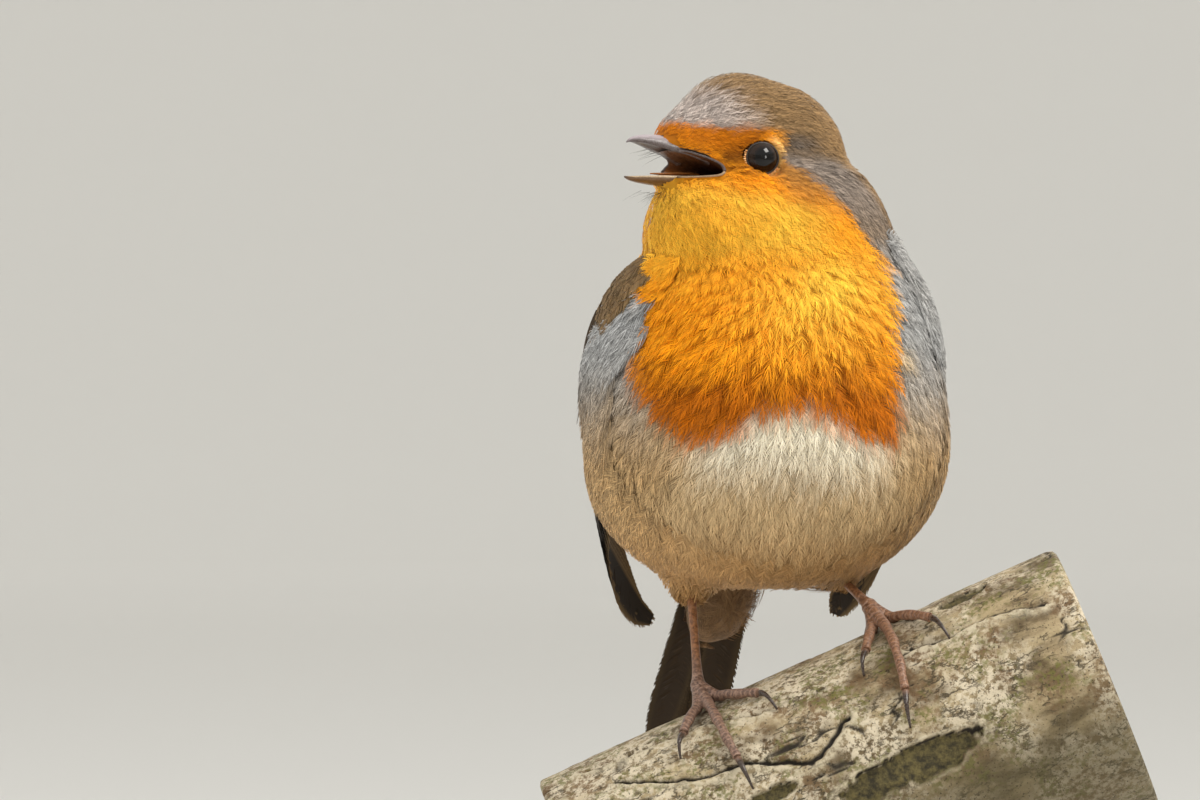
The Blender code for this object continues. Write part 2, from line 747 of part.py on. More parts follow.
def build_stand():
    """The branch, the two rods that carry it and the flat round base."""
    perch = perch_mesh()
    rod_tops = [CREST_HEIGHT - PERCH_RADIUS + x * sin(PERCH_SLOPE) / cos(PERCH_SLOPE) for x in ROD_X]
    rods = []
    for number, (x, top) in enumerate(zip(ROD_X, rod_tops), 1):
        bm = bmesh.new()
        bottom = BASE_THICKNESS + GAP
        bmesh.ops.create_cone(
            bm, cap_ends=True, segments=20, radius1=ROD_RADIUS, radius2=ROD_RADIUS, depth=top - bottom
        )
        bmesh.ops.translate(bm, verts=bm.verts, vec=(x, 0, (top + bottom) / 2))
        rod = carved("rod", as_mesh("rod", bm), inflated("bed", perch, GAP))
        rods.append(rod)
        add_object(f"stand_rod_{number}", rod, "steel", robin)
    add_object("perch", perch, "bark", robin)

    bm = bmesh.new()
    bmesh.ops.create_cone(
        bm, cap_ends=True, segments=44, radius1=BASE_RADIUS, radius2=BASE_RADIUS, depth=BASE_THICKNESS
    )
    bmesh.ops.translate(bm, verts=bm.verts, vec=(0, 0, BASE_THICKNESS / 2))
    base = add_object("stand_base", as_mesh("stand_base", bm), "stained wood", robin)
    bevel = base.modifiers.new("eased edge", "BEVEL")
    bevel.width = BASE_BEVEL
    bevel.segments = 1
    bevel.limit_method = "ANGLE"


clear_scene()
robin = new_collection("robin")
cutters = new_collection("cutters")
whole_body = build_body()
build_wings(whole_body)
build_tail(whole_body)
build_legs(whole_body)
build_stand()
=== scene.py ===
"""Looks for the singing robin: skin, plumage, wings, tail, bill, eyes, legs, branch and display stand.

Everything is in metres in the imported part's own frame: +Z up, -Y the way the breast faces. Sizes are
written in millimetres times MM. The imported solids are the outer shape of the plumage, so the skin lies
inside them by the coat's depth, and every feather grows from the skin out to that shape.
"""

from math import cos, pi, radians, sin

import bmesh
import bpy
import numpy as np
from mathutils import Matrix, Vector
from mathutils.bvhtree import BVHTree


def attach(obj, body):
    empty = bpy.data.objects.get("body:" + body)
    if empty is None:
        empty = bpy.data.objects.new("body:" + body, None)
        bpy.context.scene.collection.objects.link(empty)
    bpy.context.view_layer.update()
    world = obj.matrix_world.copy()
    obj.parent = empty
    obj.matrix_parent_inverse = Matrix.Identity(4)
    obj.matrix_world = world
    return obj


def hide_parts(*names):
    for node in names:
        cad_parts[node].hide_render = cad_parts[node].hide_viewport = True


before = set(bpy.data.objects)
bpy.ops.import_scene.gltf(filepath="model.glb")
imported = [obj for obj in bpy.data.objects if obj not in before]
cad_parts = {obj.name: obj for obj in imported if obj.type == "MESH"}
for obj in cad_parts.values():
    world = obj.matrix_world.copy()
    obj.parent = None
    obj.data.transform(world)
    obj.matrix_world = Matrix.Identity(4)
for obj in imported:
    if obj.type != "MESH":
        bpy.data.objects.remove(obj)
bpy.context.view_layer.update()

MM = 0.001

# ---------------- the bird's own frames, in mm


def facing(origin, yaw, pitch=0.0):
    """A frame of forward, left and up at origin. Yaw 0 faces -Y, and a positive yaw turns to +X."""
    turn = Matrix.Rotation(yaw - pi / 2, 4, "Z") @ Matrix.Rotation(-pitch, 4, "Y")
    return Matrix.Translation(origin) @ turn @ Matrix.Scale(MM, 4)


CREST_HEIGHT = 76 * MM
CREST = Vector((0, 0, CREST_HEIGHT))
FROM_CREST = Matrix.Translation(CREST) @ Matrix.Scale(MM, 4)  # mm from the perch's crest, unturned
SIDES = ((1, "left"), (-1, "right"))
TRUNK = facing(CREST + Vector((-0.6, 0, 0)) * MM, radians(8))
SHOULDERS = facing(CREST + Vector((-0.6, 0, 0)) * MM, radians(15))
HEAD = facing(CREST + Vector((-6.3, -4.0, 78.5)) * MM, radians(-55), radians(12.5))
PERCH_SLOPE = radians(22.3)
PERCH_AXIS = Vector((cos(PERCH_SLOPE), 0, sin(PERCH_SLOPE)))
PERCH_TOP = Vector((-sin(PERCH_SLOPE), 0, cos(PERCH_SLOPE)))
PERCH_RADIUS = 20.0  # under the bird, in mm; it grows by the taper for each mm along the axis
PERCH_TAPER = 0.035
TAIL_ROOT = TRUNK @ Vector((-30, 0, 28.4))
TAIL_DIRECTION = Vector((-0.181, 0.637, -0.749)).normalized()

EYE_CENTRE = Vector((1.2, 7.5, 0.3))  # the left eye, in the head's frame
EYE_RADIUS = 3.1
EYE_OPENING = 2.38  # radius of the opening between the lids
EYE_FORWARD = radians(18)  # how far each eye turns towards the bill


def tail_frame():
    """Forward along the tail towards its tip, left as the bird's left, and up out of its back."""
    left = TRUNK.to_3x3() @ Vector((0, 1, 0))
    back = TAIL_DIRECTION.cross(left).normalized()
    left = back.cross(TAIL_DIRECTION).normalized()
    back = -back if back.z < 0 else back
    turn = Matrix((TAIL_DIRECTION, left, back)).transposed().to_4x4()
    return Matrix.Translation(TAIL_ROOT) @ turn @ Matrix.Scale(MM, 4)


TAIL = tail_frame()

# ---------------- numbers over many points


def into(place, points):
    """Many world points in a frame's own millimetres."""
    back = np.array(place.inverted())
    return points @ back[:3, :3].T + back[:3, 3]


def out_of(place, points):
    """Many points of a frame, in its millimetres, in the world."""
    there = np.array(place)
    return points @ there[:3, :3].T + there[:3, 3]


def unit(vectors):
    return vectors / np.maximum(np.linalg.norm(vectors, axis=-1, keepdims=True), 1e-12)


def ramp(value, low, high):
    """0 below low, 1 above high, and a smooth step between. Low may be the larger."""
    t = np.clip((value - low) / (high - low), 0, 1)
    return t * t * (3 - 2 * t)


def hashed(cells, seed):
    x, y, z = (cells[..., i].astype(np.int64).astype(np.uint32) for i in range(3))
    h = x * np.uint32(374761393) + y * np.uint32(668265263) + z * np.uint32(2246822519)
    h += np.uint32(seed * 97 + 13)
    h = (h ^ (h >> np.uint32(13))) * np.uint32(1274126177)
    h = (h ^ (h >> np.uint32(16))) * np.uint32(2654435761)
    return ((h >> np.uint32(8)) & np.uint32(0xFFFF)) / 65535.0


def clouds(points, size, seed=0, octaves=2):
    """Smooth noise from -1 to 1 whose features are about size across, in the points' own unit."""
    total, weight, reach = 0.0, 1.0, 0.0
    for octave in range(octaves):
        scaled = points / size * 2**octave
        cell = np.floor(scaled)
        t = scaled - cell
        t = t * t * (3 - 2 * t)
        found = 0.0
        for corner in np.ndindex(2, 2, 2):
            corner = np.array(corner)
            share = np.prod(np.where(corner == 1, t, 1 - t), axis=-1)
            found = found + share * hashed(cell + corner, seed + octave * 31)
        total, reach = total + weight * (found * 2 - 1), reach + weight
        weight *= 0.5
    return total / reach

# ---------------- meshes


def new_object(name, mesh):
    obj = bpy.data.objects.new(name, mesh)
    bpy.context.scene.collection.objects.link(obj)
    return obj


def put(name, mesh, finish, stands_for=()):
    """Makes a piece of a finished mesh: its material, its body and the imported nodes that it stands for."""
    obj = new_object(name, mesh)
    mesh.materials.clear()
    mesh.materials.append(finish)
    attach(obj, "root")
    if stands_for:
        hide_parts(*stands_for)


def solid_mesh(name, points, faces, smooth=True):
    """A mesh from an array of points and an array, or several arrays, of faces' corners."""
    groups = faces if isinstance(faces, (list, tuple)) else [faces]
    groups = [np.asarray(g, np.int64) for g in groups if len(g)]
    sizes = np.concatenate([np.full(len(g), g.shape[1]) for g in groups])
    corners = np.concatenate([g.ravel() for g in groups])
    mesh = bpy.data.meshes.new(name)
    mesh.vertices.add(len(points))
    mesh.vertices.foreach_set("co", np.asarray(points, np.float32).ravel())
    mesh.loops.add(len(corners))
    mesh.loops.foreach_set("vertex_index", corners.astype(np.int32))
    mesh.polygons.add(len(sizes))
    mesh.polygons.foreach_set("loop_start", np.concatenate([[0], np.cumsum(sizes)[:-1]]).astype(np.int32))
    mesh.update(calc_edges=True)
    mesh.polygons.foreach_set("use_smooth", np.full(len(sizes), smooth))
    return mesh


def add_numbers(mesh, name, values):
    """An attribute on the mesh's points: a number each, or three numbers as a colour."""
    values = np.asarray(values, np.float32)
    if values.ndim == 1:
        mesh.attributes.new(name, "FLOAT", "POINT").data.foreach_set("value", values)
        return
    full = np.ones((len(values), 4), np.float32)
    full[:, : values.shape[1]] = values
    mesh.attributes.new(name, "FLOAT_COLOR", "POINT").data.foreach_set("color", full.ravel())


def add_map(mesh, name, places):
    """A UV map from one place for each point."""
    corner_of = np.zeros(len(mesh.loops), np.int32)
    mesh.loops.foreach_get("vertex_index", corner_of)
    layer = mesh.uv_layers.new(name=name)
    layer.data.foreach_set("uv", np.asarray(places, np.float32)[corner_of].ravel())


def dress(mesh, colours, strand, along, places):
    """What the plumage's finish reads on a piece: marking, each barb's own tone, how far along it is."""
    add_numbers(mesh, "marking", colours)
    add_numbers(mesh, "strand", strand)
    add_numbers(mesh, "along", along)
    add_map(mesh, "OFBake", places)


def set_normals(mesh, normals):
    """Rounds the shading of flat strands, as if each were a thread."""
    layer = mesh.attributes.new("custom_normal", "FLOAT_VECTOR", "POINT")
    layer.data.foreach_set("vector", unit(normals).astype(np.float32).ravel())


def points_of(mesh):
    found = np.zeros(len(mesh.vertices) * 3, np.float32)
    mesh.vertices.foreach_get("co", found)
    return found.reshape(-1, 3).astype(float)


def normals_of(mesh):
    found = np.zeros(len(mesh.vertices) * 3, np.float32)
    mesh.vertex_normals.foreach_get("vector", found)
    return found.reshape(-1, 3).astype(float)


def evaluated(obj):
    """A plain mesh of the object with its modifiers. The object is removed."""
    graph = bpy.context.evaluated_depsgraph_get()
    mesh = bpy.data.meshes.new_from_object(obj.evaluated_get(graph))
    bpy.data.objects.remove(obj)
    return mesh


def melted(mesh, voxel, rounds):
    """One closed smooth surface over a mesh's overlapping parts."""
    obj = new_object(mesh.name, mesh)
    melt = obj.modifiers.new("melt", "REMESH")
    melt.mode = "VOXEL"
    melt.voxel_size = voxel
    soften = obj.modifiers.new("soften", "SMOOTH")
    soften.iterations = rounds
    return evaluated(obj)


def smooth_rows(rows, steps):
    """Rows of numbers with steps intervals between each pair, on a Catmull-Rom curve."""
    rows = np.asarray(rows, float)
    last = len(rows) - 1
    found = []
    for i in range(last):
        before, start, end, after = (rows[min(last, max(0, i + k))] for k in (-1, 0, 1, 2))
        for step in range(steps):
            t = step / steps
            pull = (end - before) * t + (2 * before - 5 * start + 4 * end - after) * t * t
            found.append(start + 0.5 * (pull + (3 * start - before - 3 * end + after) * t**3))
    return np.array(found + [rows[-1]])


def circle(count):
    """Evenly spaced angles once round, the first at 0."""
    return np.linspace(0, 2 * pi, count, endpoint=False)


def grid_faces(rows, columns, wrap=True):
    """Quads over a grid of points, row by row, joined round each row when wrap is set."""
    i, j = np.meshgrid(np.arange(rows - 1), np.arange(columns if wrap else columns - 1), indexing="ij")
    here, there = i * columns + j, i * columns + (j + 1) % columns
    return np.stack([here, there, there + columns, here + columns], axis=-1).reshape(-1, 4)


def face_outwards(mesh):
    """Turns a closed mesh's faces so that they all point outwards."""
    bm = bmesh.new()
    bm.from_mesh(mesh)
    bmesh.ops.recalc_face_normals(bm, faces=bm.faces)
    bm.to_mesh(mesh)
    bm.free()
    return mesh


def closed_faces(rows, columns, start=0):
    """Faces over a closed tube: its rings of points, numbered from start, and then a point at each end."""
    j, end, tip = np.arange(columns), (rows - 1) * columns, np.full(columns, rows * columns)
    around = (j + 1) % columns
    first, last = np.stack([around, j, tip], axis=1), np.stack([end + j, end + around, tip + 1], axis=1)
    return [faces + start for faces in (grid_faces(rows, columns), first, last)]


def lofted(name, rings, place):
    """A closed mesh over a frame's rings (rows, points, 3), with a point in the middle of each end."""
    rings = out_of(place, rings)
    points = np.concatenate([rings.reshape(-1, 3), rings[:1].mean(axis=1), rings[-1:].mean(axis=1)])
    return face_outwards(solid_mesh(name, points, closed_faces(*rings.shape[:2])))

# ---------------- materials


def feed(tree, socket, value):
    """Links an input to an output socket, or sets the input's own value."""
    if isinstance(value, bpy.types.NodeSocket):
        tree.links.new(value, socket)
    elif socket.type == "RGBA" and len(value) == 3:
        socket.default_value = (*value, 1.0)
    else:
        socket.default_value = value


def add_node(tree, kind, settings=None, **inputs):
    """A node with its settings and inputs. An input that is an output socket is linked."""
    made = tree.nodes.new(kind)
    for key, value in (settings or {}).items():
        setattr(made, key, value)
    for key, value in inputs.items():
        feed(tree, made.inputs[key.replace("_", " ")], value)
    return made


class Finish:
    """A material, or a node group, whose nodes are added one call at a time."""

    def __init__(self, name, group=False):
        if group:
            self.tree = bpy.data.node_groups.new(name, "ShaderNodeTree")
        else:
            self.material = bpy.data.materials.new(name)
            self.material.use_nodes = True
            self.tree = self.material.node_tree
            self.tree.nodes.clear()

    def node(self, kind, settings=None, **inputs):
        return add_node(self.tree, kind, settings, **inputs)

    def math(self, operation, *values, clamp=False):
        made = self.node("ShaderNodeMath", {"operation": operation, "use_clamp": clamp})
        for socket, value in zip(made.inputs, values):
            feed(self.tree, socket, value)
        return made.outputs[0]

    def times(self, *values):
        return self.math("MULTIPLY", *values)

    def plus(self, *values):
        return self.math("ADD", *values)

    def less(self, *values):
        return self.math("SUBTRACT", *values)

    def mix(self, share, first, second, blend="MIX"):
        made = self.node("ShaderNodeMix", {"data_type": "RGBA", "blend_type": blend})
        for key, value in ((0, share), (6, first), (7, second)):
            feed(self.tree, made.inputs[key], value)
        return made.outputs[2]

    def over(self, colour, paint, mask, strength=1.0):
        """A colour with paint over it by its mask's share, at a strength."""
        return self.mix(mask if strength == 1.0 else self.times(mask, strength), colour, paint)

    def remap(self, value, low, high, to_low=0.0, to_high=1.0):
        made = self.node("ShaderNodeMapRange", {"interpolation_type": "SMOOTHSTEP"}, Value=value)
        for key, number in (("From Min", low), ("From Max", high), ("To Min", to_low), ("To Max", to_high)):
            made.inputs[key].default_value = number
        return made.outputs[0]

    def object_place(self, scale=(1, 1, 1)):
        place = self.node("ShaderNodeTexCoord").outputs["Object"]
        return self.node("ShaderNodeMapping", Vector=place, Scale=scale).outputs[0]

    def attribute(self, name, output="Fac"):
        return self.node("ShaderNodeAttribute", {"attribute_name": name}).outputs[output]

    def noise(self, size, place=None, detail=3.0, roughness=0.6, output=0):
        """Noise whose features are about size metres across."""
        place = place or self.object_place()
        made = self.node("ShaderNodeTexNoise", Vector=place, Scale=1 / size, Detail=detail,
                         Roughness=roughness)
        return made.outputs[output]

    def bump(self, height, distance, strength=1.0, below=None):
        made = self.node("ShaderNodeBump", Height=height, Distance=distance, Strength=strength)
        if below is not None:
            self.tree.links.new(below, made.inputs["Normal"])
        return made.outputs[0]

    def use(self, group, **inputs):
        return self.node("ShaderNodeGroup", {"node_tree": group}, **inputs)

    def finished(self, **inputs):
        shader = self.node("ShaderNodeBsdfPrincipled", None, **inputs)
        self.node("ShaderNodeOutputMaterial", None, Surface=shader.outputs[0])
        return self.material


def open_group(name, takes, gives):
    """A node group with named inputs (name: kind, default) and outputs, and its two end nodes."""
    made = Finish(name, group=True)
    face = made.tree.interface
    for key, (kind, default) in takes.items():
        socket = face.new_socket(key, in_out="INPUT", socket_type=kind)
        if default is not None:
            socket.default_value = default
    for key, kind in gives.items():
        face.new_socket(key, in_out="OUTPUT", socket_type=kind)
    start = made.tree.nodes.new("NodeGroupInput")
    end = made.tree.nodes.new("NodeGroupOutput")
    return made, start.outputs, end.inputs


NUMBER, COLOUR, NORMAL = "NodeSocketFloat", "NodeSocketColor", "NodeSocketVector"


def plumage_group():
    """The colour of a strand: its marking, darker at the root, with each barb a little its own."""
    made, takes, gives = open_group(
        "plumage",
        {"Root Shade": (NUMBER, 0.45), "Barb Contrast": (NUMBER, 0.3)},
        {"Colour": COLOUR, "Roughness": NUMBER},
    )
    marking = made.attribute("marking", "Color")
    strand = made.attribute("strand")
    along = made.attribute("along")
    fine = made.noise(0.9 * MM, detail=2.0)
    own = made.less(strand, 0.5)
    light = made.math("MULTIPLY_ADD", own, takes["Barb Contrast"], 1.0)
    light = made.math("MULTIPLY_ADD", made.less(fine, 0.5), 0.3, light)
    root = made.remap(along, 0.0, 0.75)
    shade = made.math("MULTIPLY_ADD", made.less(1.0, takes["Root Shade"]), root, takes["Root Shade"])
    light = made.times(light, shade)
    toned = made.node("ShaderNodeCombineColor", None, Red=light, Green=light, Blue=light).outputs[0]
    made.tree.links.new(made.mix(1.0, marking, toned, "MULTIPLY"), gives["Colour"])
    made.tree.links.new(made.remap(strand, 0.0, 1.0, 0.62, 0.8), gives["Roughness"])
    return made.tree


def relief_group():
    """Fine unevenness for any hard surface: a normal from one noise of several octaves, and a mask of its
    pits.
    """
    made, takes, gives = open_group(
        "fine relief",
        {"Size": (NUMBER, 0.5), "Depth": (NUMBER, 0.02)},
        {"Normal": NORMAL, "Pits": NUMBER},
    )
    place = made.object_place((1000, 1000, 1000))
    scale = made.math("DIVIDE", 1.0, takes["Size"])
    coarse = made.node("ShaderNodeTexNoise", None, Vector=place, Scale=scale, Detail=4.0).outputs[0]
    height = made.times(coarse, takes["Depth"])
    made.tree.links.new(made.bump(height, MM), gives["Normal"])
    made.tree.links.new(made.remap(coarse, 0.35, 0.6), gives["Pits"])
    return made.tree


plumage = plumage_group()
fine_relief = relief_group()


def feather_finish(name, root_shade, contrast):
    made = Finish(name)
    worn = made.use(plumage, Root_Shade=root_shade, Barb_Contrast=contrast).outputs
    finished = made.finished(Base_Color=worn["Colour"], Roughness=worn["Roughness"])
    shader = finished.node_tree.nodes["Principled BSDF"]
    shader.inputs["Sheen Weight"].default_value = 0.05
    shader.inputs["Sheen Roughness"].default_value = 0.5
    shader.inputs["Specular IOR Level"].default_value = 0.16
    return finished

# ---------------- skin

FLESH_NODES = ("head", "neck", "trunk", "tail_coverts", "thigh_left", "thigh_right")
BARE_NODES = ("eye_left", "eye_right", "bill_upper", "bill_lower")
SKIN_VOXEL, SKIN_ROUNDS = 0.5 * MM, 12
GROWTH = 0.24 * MM  # how far each form grows, so that it meets its neighbours
THIGH_SHARE = 0.80  # how much of a thigh is feathered
BODY_COAT, HEAD_COAT, FACE_COAT, LOW_COAT = 2.9, 1.25, 0.42, 0.7  # the plumage's thickness in mm

# The open gape on the skin, in the head's frame: forward, half width, height. Each edge runs from
# the corner of the mouth to where it meets the bill's cutting edge.
GAPE_CORNER = (7.2, 8.3, -3.2)
UPPER_GAPE = [GAPE_CORNER, (7.15, 7.6, -2.5), (7.4, 6.6, -1.95), (8.5, 5.6, -1.5), (10.1, 4.75, -1.25),
              (11.4, 4.0, -1.1), (12.6, 3.0, -1.15)]
LOWER_GAPE = [GAPE_CORNER, (7.8, 8.25, -3.75), (8.9, 7.2, -4.2), (10.0, 5.9, -4.5), (11.0, 4.7, -4.75),
              (12.2, 3.2, -5.05)]


def puffed_copy(node, distance):
    """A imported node's mesh with its corners merged and its surface moved outwards, in a bmesh."""
    bm = bmesh.new()
    bm.from_mesh(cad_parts[node].data)
    bmesh.ops.remove_doubles(bm, verts=bm.verts, dist=0.002 * MM)
    bm.normal_update()
    for vert, normal in [(v, v.normal.copy()) for v in bm.verts]:
        vert.co += normal * distance
    return bm


def drawn_up(mesh, share):
    """A thigh shortened towards its top, so that its feathers end where the bare leg begins."""
    places = points_of(mesh)
    top = places[:, 2].max()
    places[:, 2] = top - (top - places[:, 2]) * share
    mesh.vertices.foreach_set("co", places.astype(np.float32).ravel())


def melted_form(nodes, voxel, rounds):
    """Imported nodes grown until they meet, melted into one smooth surface."""
    whole = bmesh.new()
    for node in nodes:
        copy = puffed_copy(node, GROWTH)
        held = bpy.data.meshes.new("held")
        copy.to_mesh(held)
        copy.free()
        if node.startswith("thigh"):
            drawn_up(held, THIGH_SHARE)
        whole.from_mesh(held)
        bpy.data.meshes.remove(held)
    mesh = bpy.data.meshes.new("outer form")
    whole.to_mesh(mesh)
    whole.free()
    return melted(mesh, voxel, rounds)


def bill_distance(head_place):
    """How far points, given in the head's frame, are from the bill's middle line, in mm."""
    back = np.array([9.0, 0.0, -3.2])
    tip = np.array([20.0, 0.0, -3.6])
    share = np.clip((head_place - back) @ (tip - back) / ((tip - back) @ (tip - back)), 0, 1)
    return np.linalg.norm(head_place - back - share[:, None] * (tip - back), axis=1)


def eye_axis(side):
    return Vector((sin(EYE_FORWARD), side * cos(EYE_FORWARD), 0.0))


def eye_middle(side):
    return Vector((EYE_CENTRE.x - 0.35, side * EYE_CENTRE.y, EYE_CENTRE.z))


EYE_SEAT = (EYE_RADIUS**2 - EYE_OPENING**2) ** 0.5  # the lids' height over the eyeball's middle


def lid_ring_middle(side):
    return eye_middle(side) + eye_axis(side) * EYE_SEAT


def eye_distance(head_place):
    """How far points, given in the head's frame, are from the middle of the nearer eye's opening, in mm."""
    caps = [np.array(lid_ring_middle(side)) for side in (1, -1)]
    return np.min([np.linalg.norm(head_place - cap, axis=1) for cap in caps], axis=0)


def head_share(points):
    """1 on the head, 0 on the trunk."""
    return ramp(points[:, 2] - 0.12 * points[:, 0], CREST_HEIGHT + 57 * MM, CREST_HEIGHT + 73 * MM)


def coat_depth(points):
    """The plumage's thickness over the skin in metres: thinnest round the bill and the eyes."""
    on_head = into(HEAD, points)
    share = head_share(points)
    depth = BODY_COAT + (HEAD_COAT - BODY_COAT) * share
    near_face = np.minimum(ramp(bill_distance(on_head), 4.0, 9.0), ramp(eye_distance(on_head), 2.6, 5.5))
    depth = np.minimum(depth, FACE_COAT + 0.8 * near_face + 2.0 * (1 - share))
    depth = depth + 1.2 * ramp(eye_distance(on_head), 3.3, 2.5)
    low = ramp(points[:, 2], CREST_HEIGHT + 14 * MM, CREST_HEIGHT + 8 * MM)
    depth = depth + (LOW_COAT - depth) * low
    return depth * MM


def edge_at(edge, forward, what):
    """The gape's half width (what is 1) or height (what is 2) at a distance forward."""
    rows = np.array(sorted(edge))
    return np.interp(forward, rows[:, 0], rows[:, what])


# forward, half width, ridge height, cutting edge's height, depth of the hollow inside
UPPER_BILL = [
    (7.5, 4.4, 0.9, -2.15, 0.8),
    (8.4, 4.3, 1.0, -1.85, 0.8),
    (11.0, 3.6, 1.1, -1.45, 0.8),
    (14.0, 2.65, 1.05, -1.32, 0.6),
    (16.6, 1.95, 0.6, -1.1, 0.4),
    (18.6, 1.2, 0.02, -1.08, 0.2),
    (19.8, 0.55, -0.62, -1.28, 0.08),
    (20.35, 0.15, -1.2, -1.52, 0.0),
]
LOWER_BILL = [
    (8.0, 4.5, -5.3, -4.0, -0.7),
    (11.0, 3.4, -6.25, -4.65, -0.7),
    (14.0, 2.45, -6.80, -5.25, -0.5),
    (16.8, 1.55, -7.05, -5.90, -0.3),
    (18.6, 0.85, -7.05, -6.38, -0.12),
    (19.6, 0.16, -6.84, -6.60, 0.0),
]


def feather_line(forward):
    """How far above the open gape the face's feathers start, in mm: the horn's edge shows below them."""
    return 0.55 * ramp(forward, 7.0, 9.0)


def bill_crown(rows, forward, side):
    """The height of a bill half's outer surface, in the head's frame."""
    found = [np.interp(forward, [row[0] for row in rows], [row[k] for row in rows]) for k in (1, 2, 3)]
    half_width, ridge, edge = found
    share = np.clip(side / half_width, 0, 1)
    return edge + (ridge - edge) * (1 - share**2) ** 0.4, half_width


def on_bill(head_place, margin=0.0):
    """Which places lie on the bare bill, past the feathers at its base."""
    forward, side, up = head_place[:, 0] - margin, np.abs(head_place[:, 1]), head_place[:, 2]
    top, wide = bill_crown(UPPER_BILL, head_place[:, 0], side)
    upper = (up > -3.5) & (up < top + 0.55) & (side < wide + 0.5) & (forward > 15.0 - 0.24 * side**2)
    low, wide = bill_crown(LOWER_BILL, head_place[:, 0], side)
    lower = (up <= -3.5) & (up > low - 0.55) & (side < wide + 0.5) & (forward > 14.2 - 0.8 * side**2)
    return (upper | lower) & (forward > 8.5)


def gaping(head_place, margin=0.0):
    """Which places lie in the open mouth, or on the hidden walls inside it."""
    forward, side, up = head_place[:, 0], np.abs(head_place[:, 1]), head_place[:, 2]
    top = edge_at(UPPER_GAPE, forward, 2) + feather_line(forward)
    low, width = edge_at(LOWER_GAPE, forward, 2), edge_at(UPPER_GAPE, forward, 1)
    open_part = (forward > GAPE_CORNER[0]) & (up < top + margin) & (up > low - margin) & (forward < 16)
    walls = (side < width - 0.8) & (forward > 2.5) & (forward < 14) & (up < top + 0.7) & (up > low - 1.0)
    return open_part | walls


def touchable(mesh):
    """A mesh's surface, for finding the nearest place on it."""
    faces = [tuple(face.vertices) for face in mesh.polygons]
    return BVHTree.FromPolygons([v.co for v in mesh.vertices], faces)


form_mesh = melted_form(FLESH_NODES + BARE_NODES, SKIN_VOXEL, SKIN_ROUNDS)
form_points, form_normals = points_of(form_mesh), normals_of(form_mesh)
form_faces = [tuple(face.vertices) for face in form_mesh.polygons]
outside = touchable(form_mesh)
skin_points = form_points - form_normals * coat_depth(form_points)[:, None]
face_middles = np.array([form_points[list(face)].mean(axis=0) for face in form_faces])
on_head = into(HEAD, face_middles)
shut = gaping(on_head) | on_bill(on_head, 0.5)
skin_faces = [face for face, gone in zip(form_faces, shut) if not gone]

# ---------------- markings, from places on the body

ORANGE = (0.98, 0.350, 0.004)
GOLD = (1.0, 0.575, 0.052)
RUST = (0.54, 0.135, 0.002)
AMBER = (0.48, 0.225, 0.055)
ASH = (0.43, 0.41, 0.385)
BLUE_ASH = (0.445, 0.452, 0.458)
FOREHEAD_GREY = (0.62, 0.53, 0.48)
NAPE_GREY = (0.33, 0.265, 0.215)
TEMPLE_GREY = (0.150, 0.122, 0.100)
OLIVE_BROWN = (0.230, 0.140, 0.060)
CROWN_BROWN = (0.370, 0.225, 0.100)
CREAM = (0.96, 0.88, 0.70)
BUFF = (0.57, 0.350, 0.130)
TAN = (0.68, 0.49, 0.265)
SHADED_PEACH = (0.47, 0.255, 0.090)
VENT_BROWN = (0.27, 0.155, 0.072)
LORE_DARK = (0.13, 0.035, 0.003)
CRESCENT = (1.0, 0.60, 0.19)  # behind the eye


def laid_over(colours, over, share):
    """One colour, or a colour for each row, laid over others by its share of each."""
    colours = np.asarray(colours)
    return colours + (np.asarray(over) - colours) * np.clip(share, 0, 1)[:, None]


def painted(colours, *layers):
    """Colours with layers of a colour and its share, laid over them in turn."""
    for over, share in layers:
        colours = laid_over(colours, over, share)
    return colours


def orange_reach(points):
    """How far inside the orange face and bib points are, in mm; negative outside."""
    head, trunk = into(HEAD, points), into(TRUNK, points)
    forward, side, up = head[:, 0], np.abs(head[:, 1]), head[:, 2]
    behind = -2.0 + 1.15 * np.minimum(0, up - 1.0)
    brow = 5.3 - 0.05 * side - 0.15 * np.maximum(0, forward)
    face = np.minimum(brow - up, (forward - behind) * 0.7)
    face = np.minimum(face, (trunk[:, 2] - 61.0) * 0.8)
    aside = trunk[:, 1] + 2.4 + 1.2 * (trunk[:, 1] > 0) * ramp(trunk[:, 1], 0, 12)
    half_width = 18.9 - 0.95 * np.maximum(0, trunk[:, 2] - 60.0) * (aside > 0)
    from_middle = np.abs(trunk[:, 1] + 0.6)
    hem = 40.2 - 4.4 * ramp(from_middle, 1.0, 13.0) + 8.0 * ramp(from_middle, 14.5, 22.0)
    bib = np.minimum(half_width - np.abs(aside), trunk[:, 2] - hem)
    bib = np.minimum(bib, np.minimum(trunk[:, 0] - 2.0, 72.0 - trunk[:, 2]))
    return np.maximum(face, bib)


def bump_at(places, middle, reach):
    """1 at a middle, falling away over a reach along each axis."""
    return np.exp(-np.sum(((places - np.array(middle)) / np.array(reach)) ** 2, axis=1))


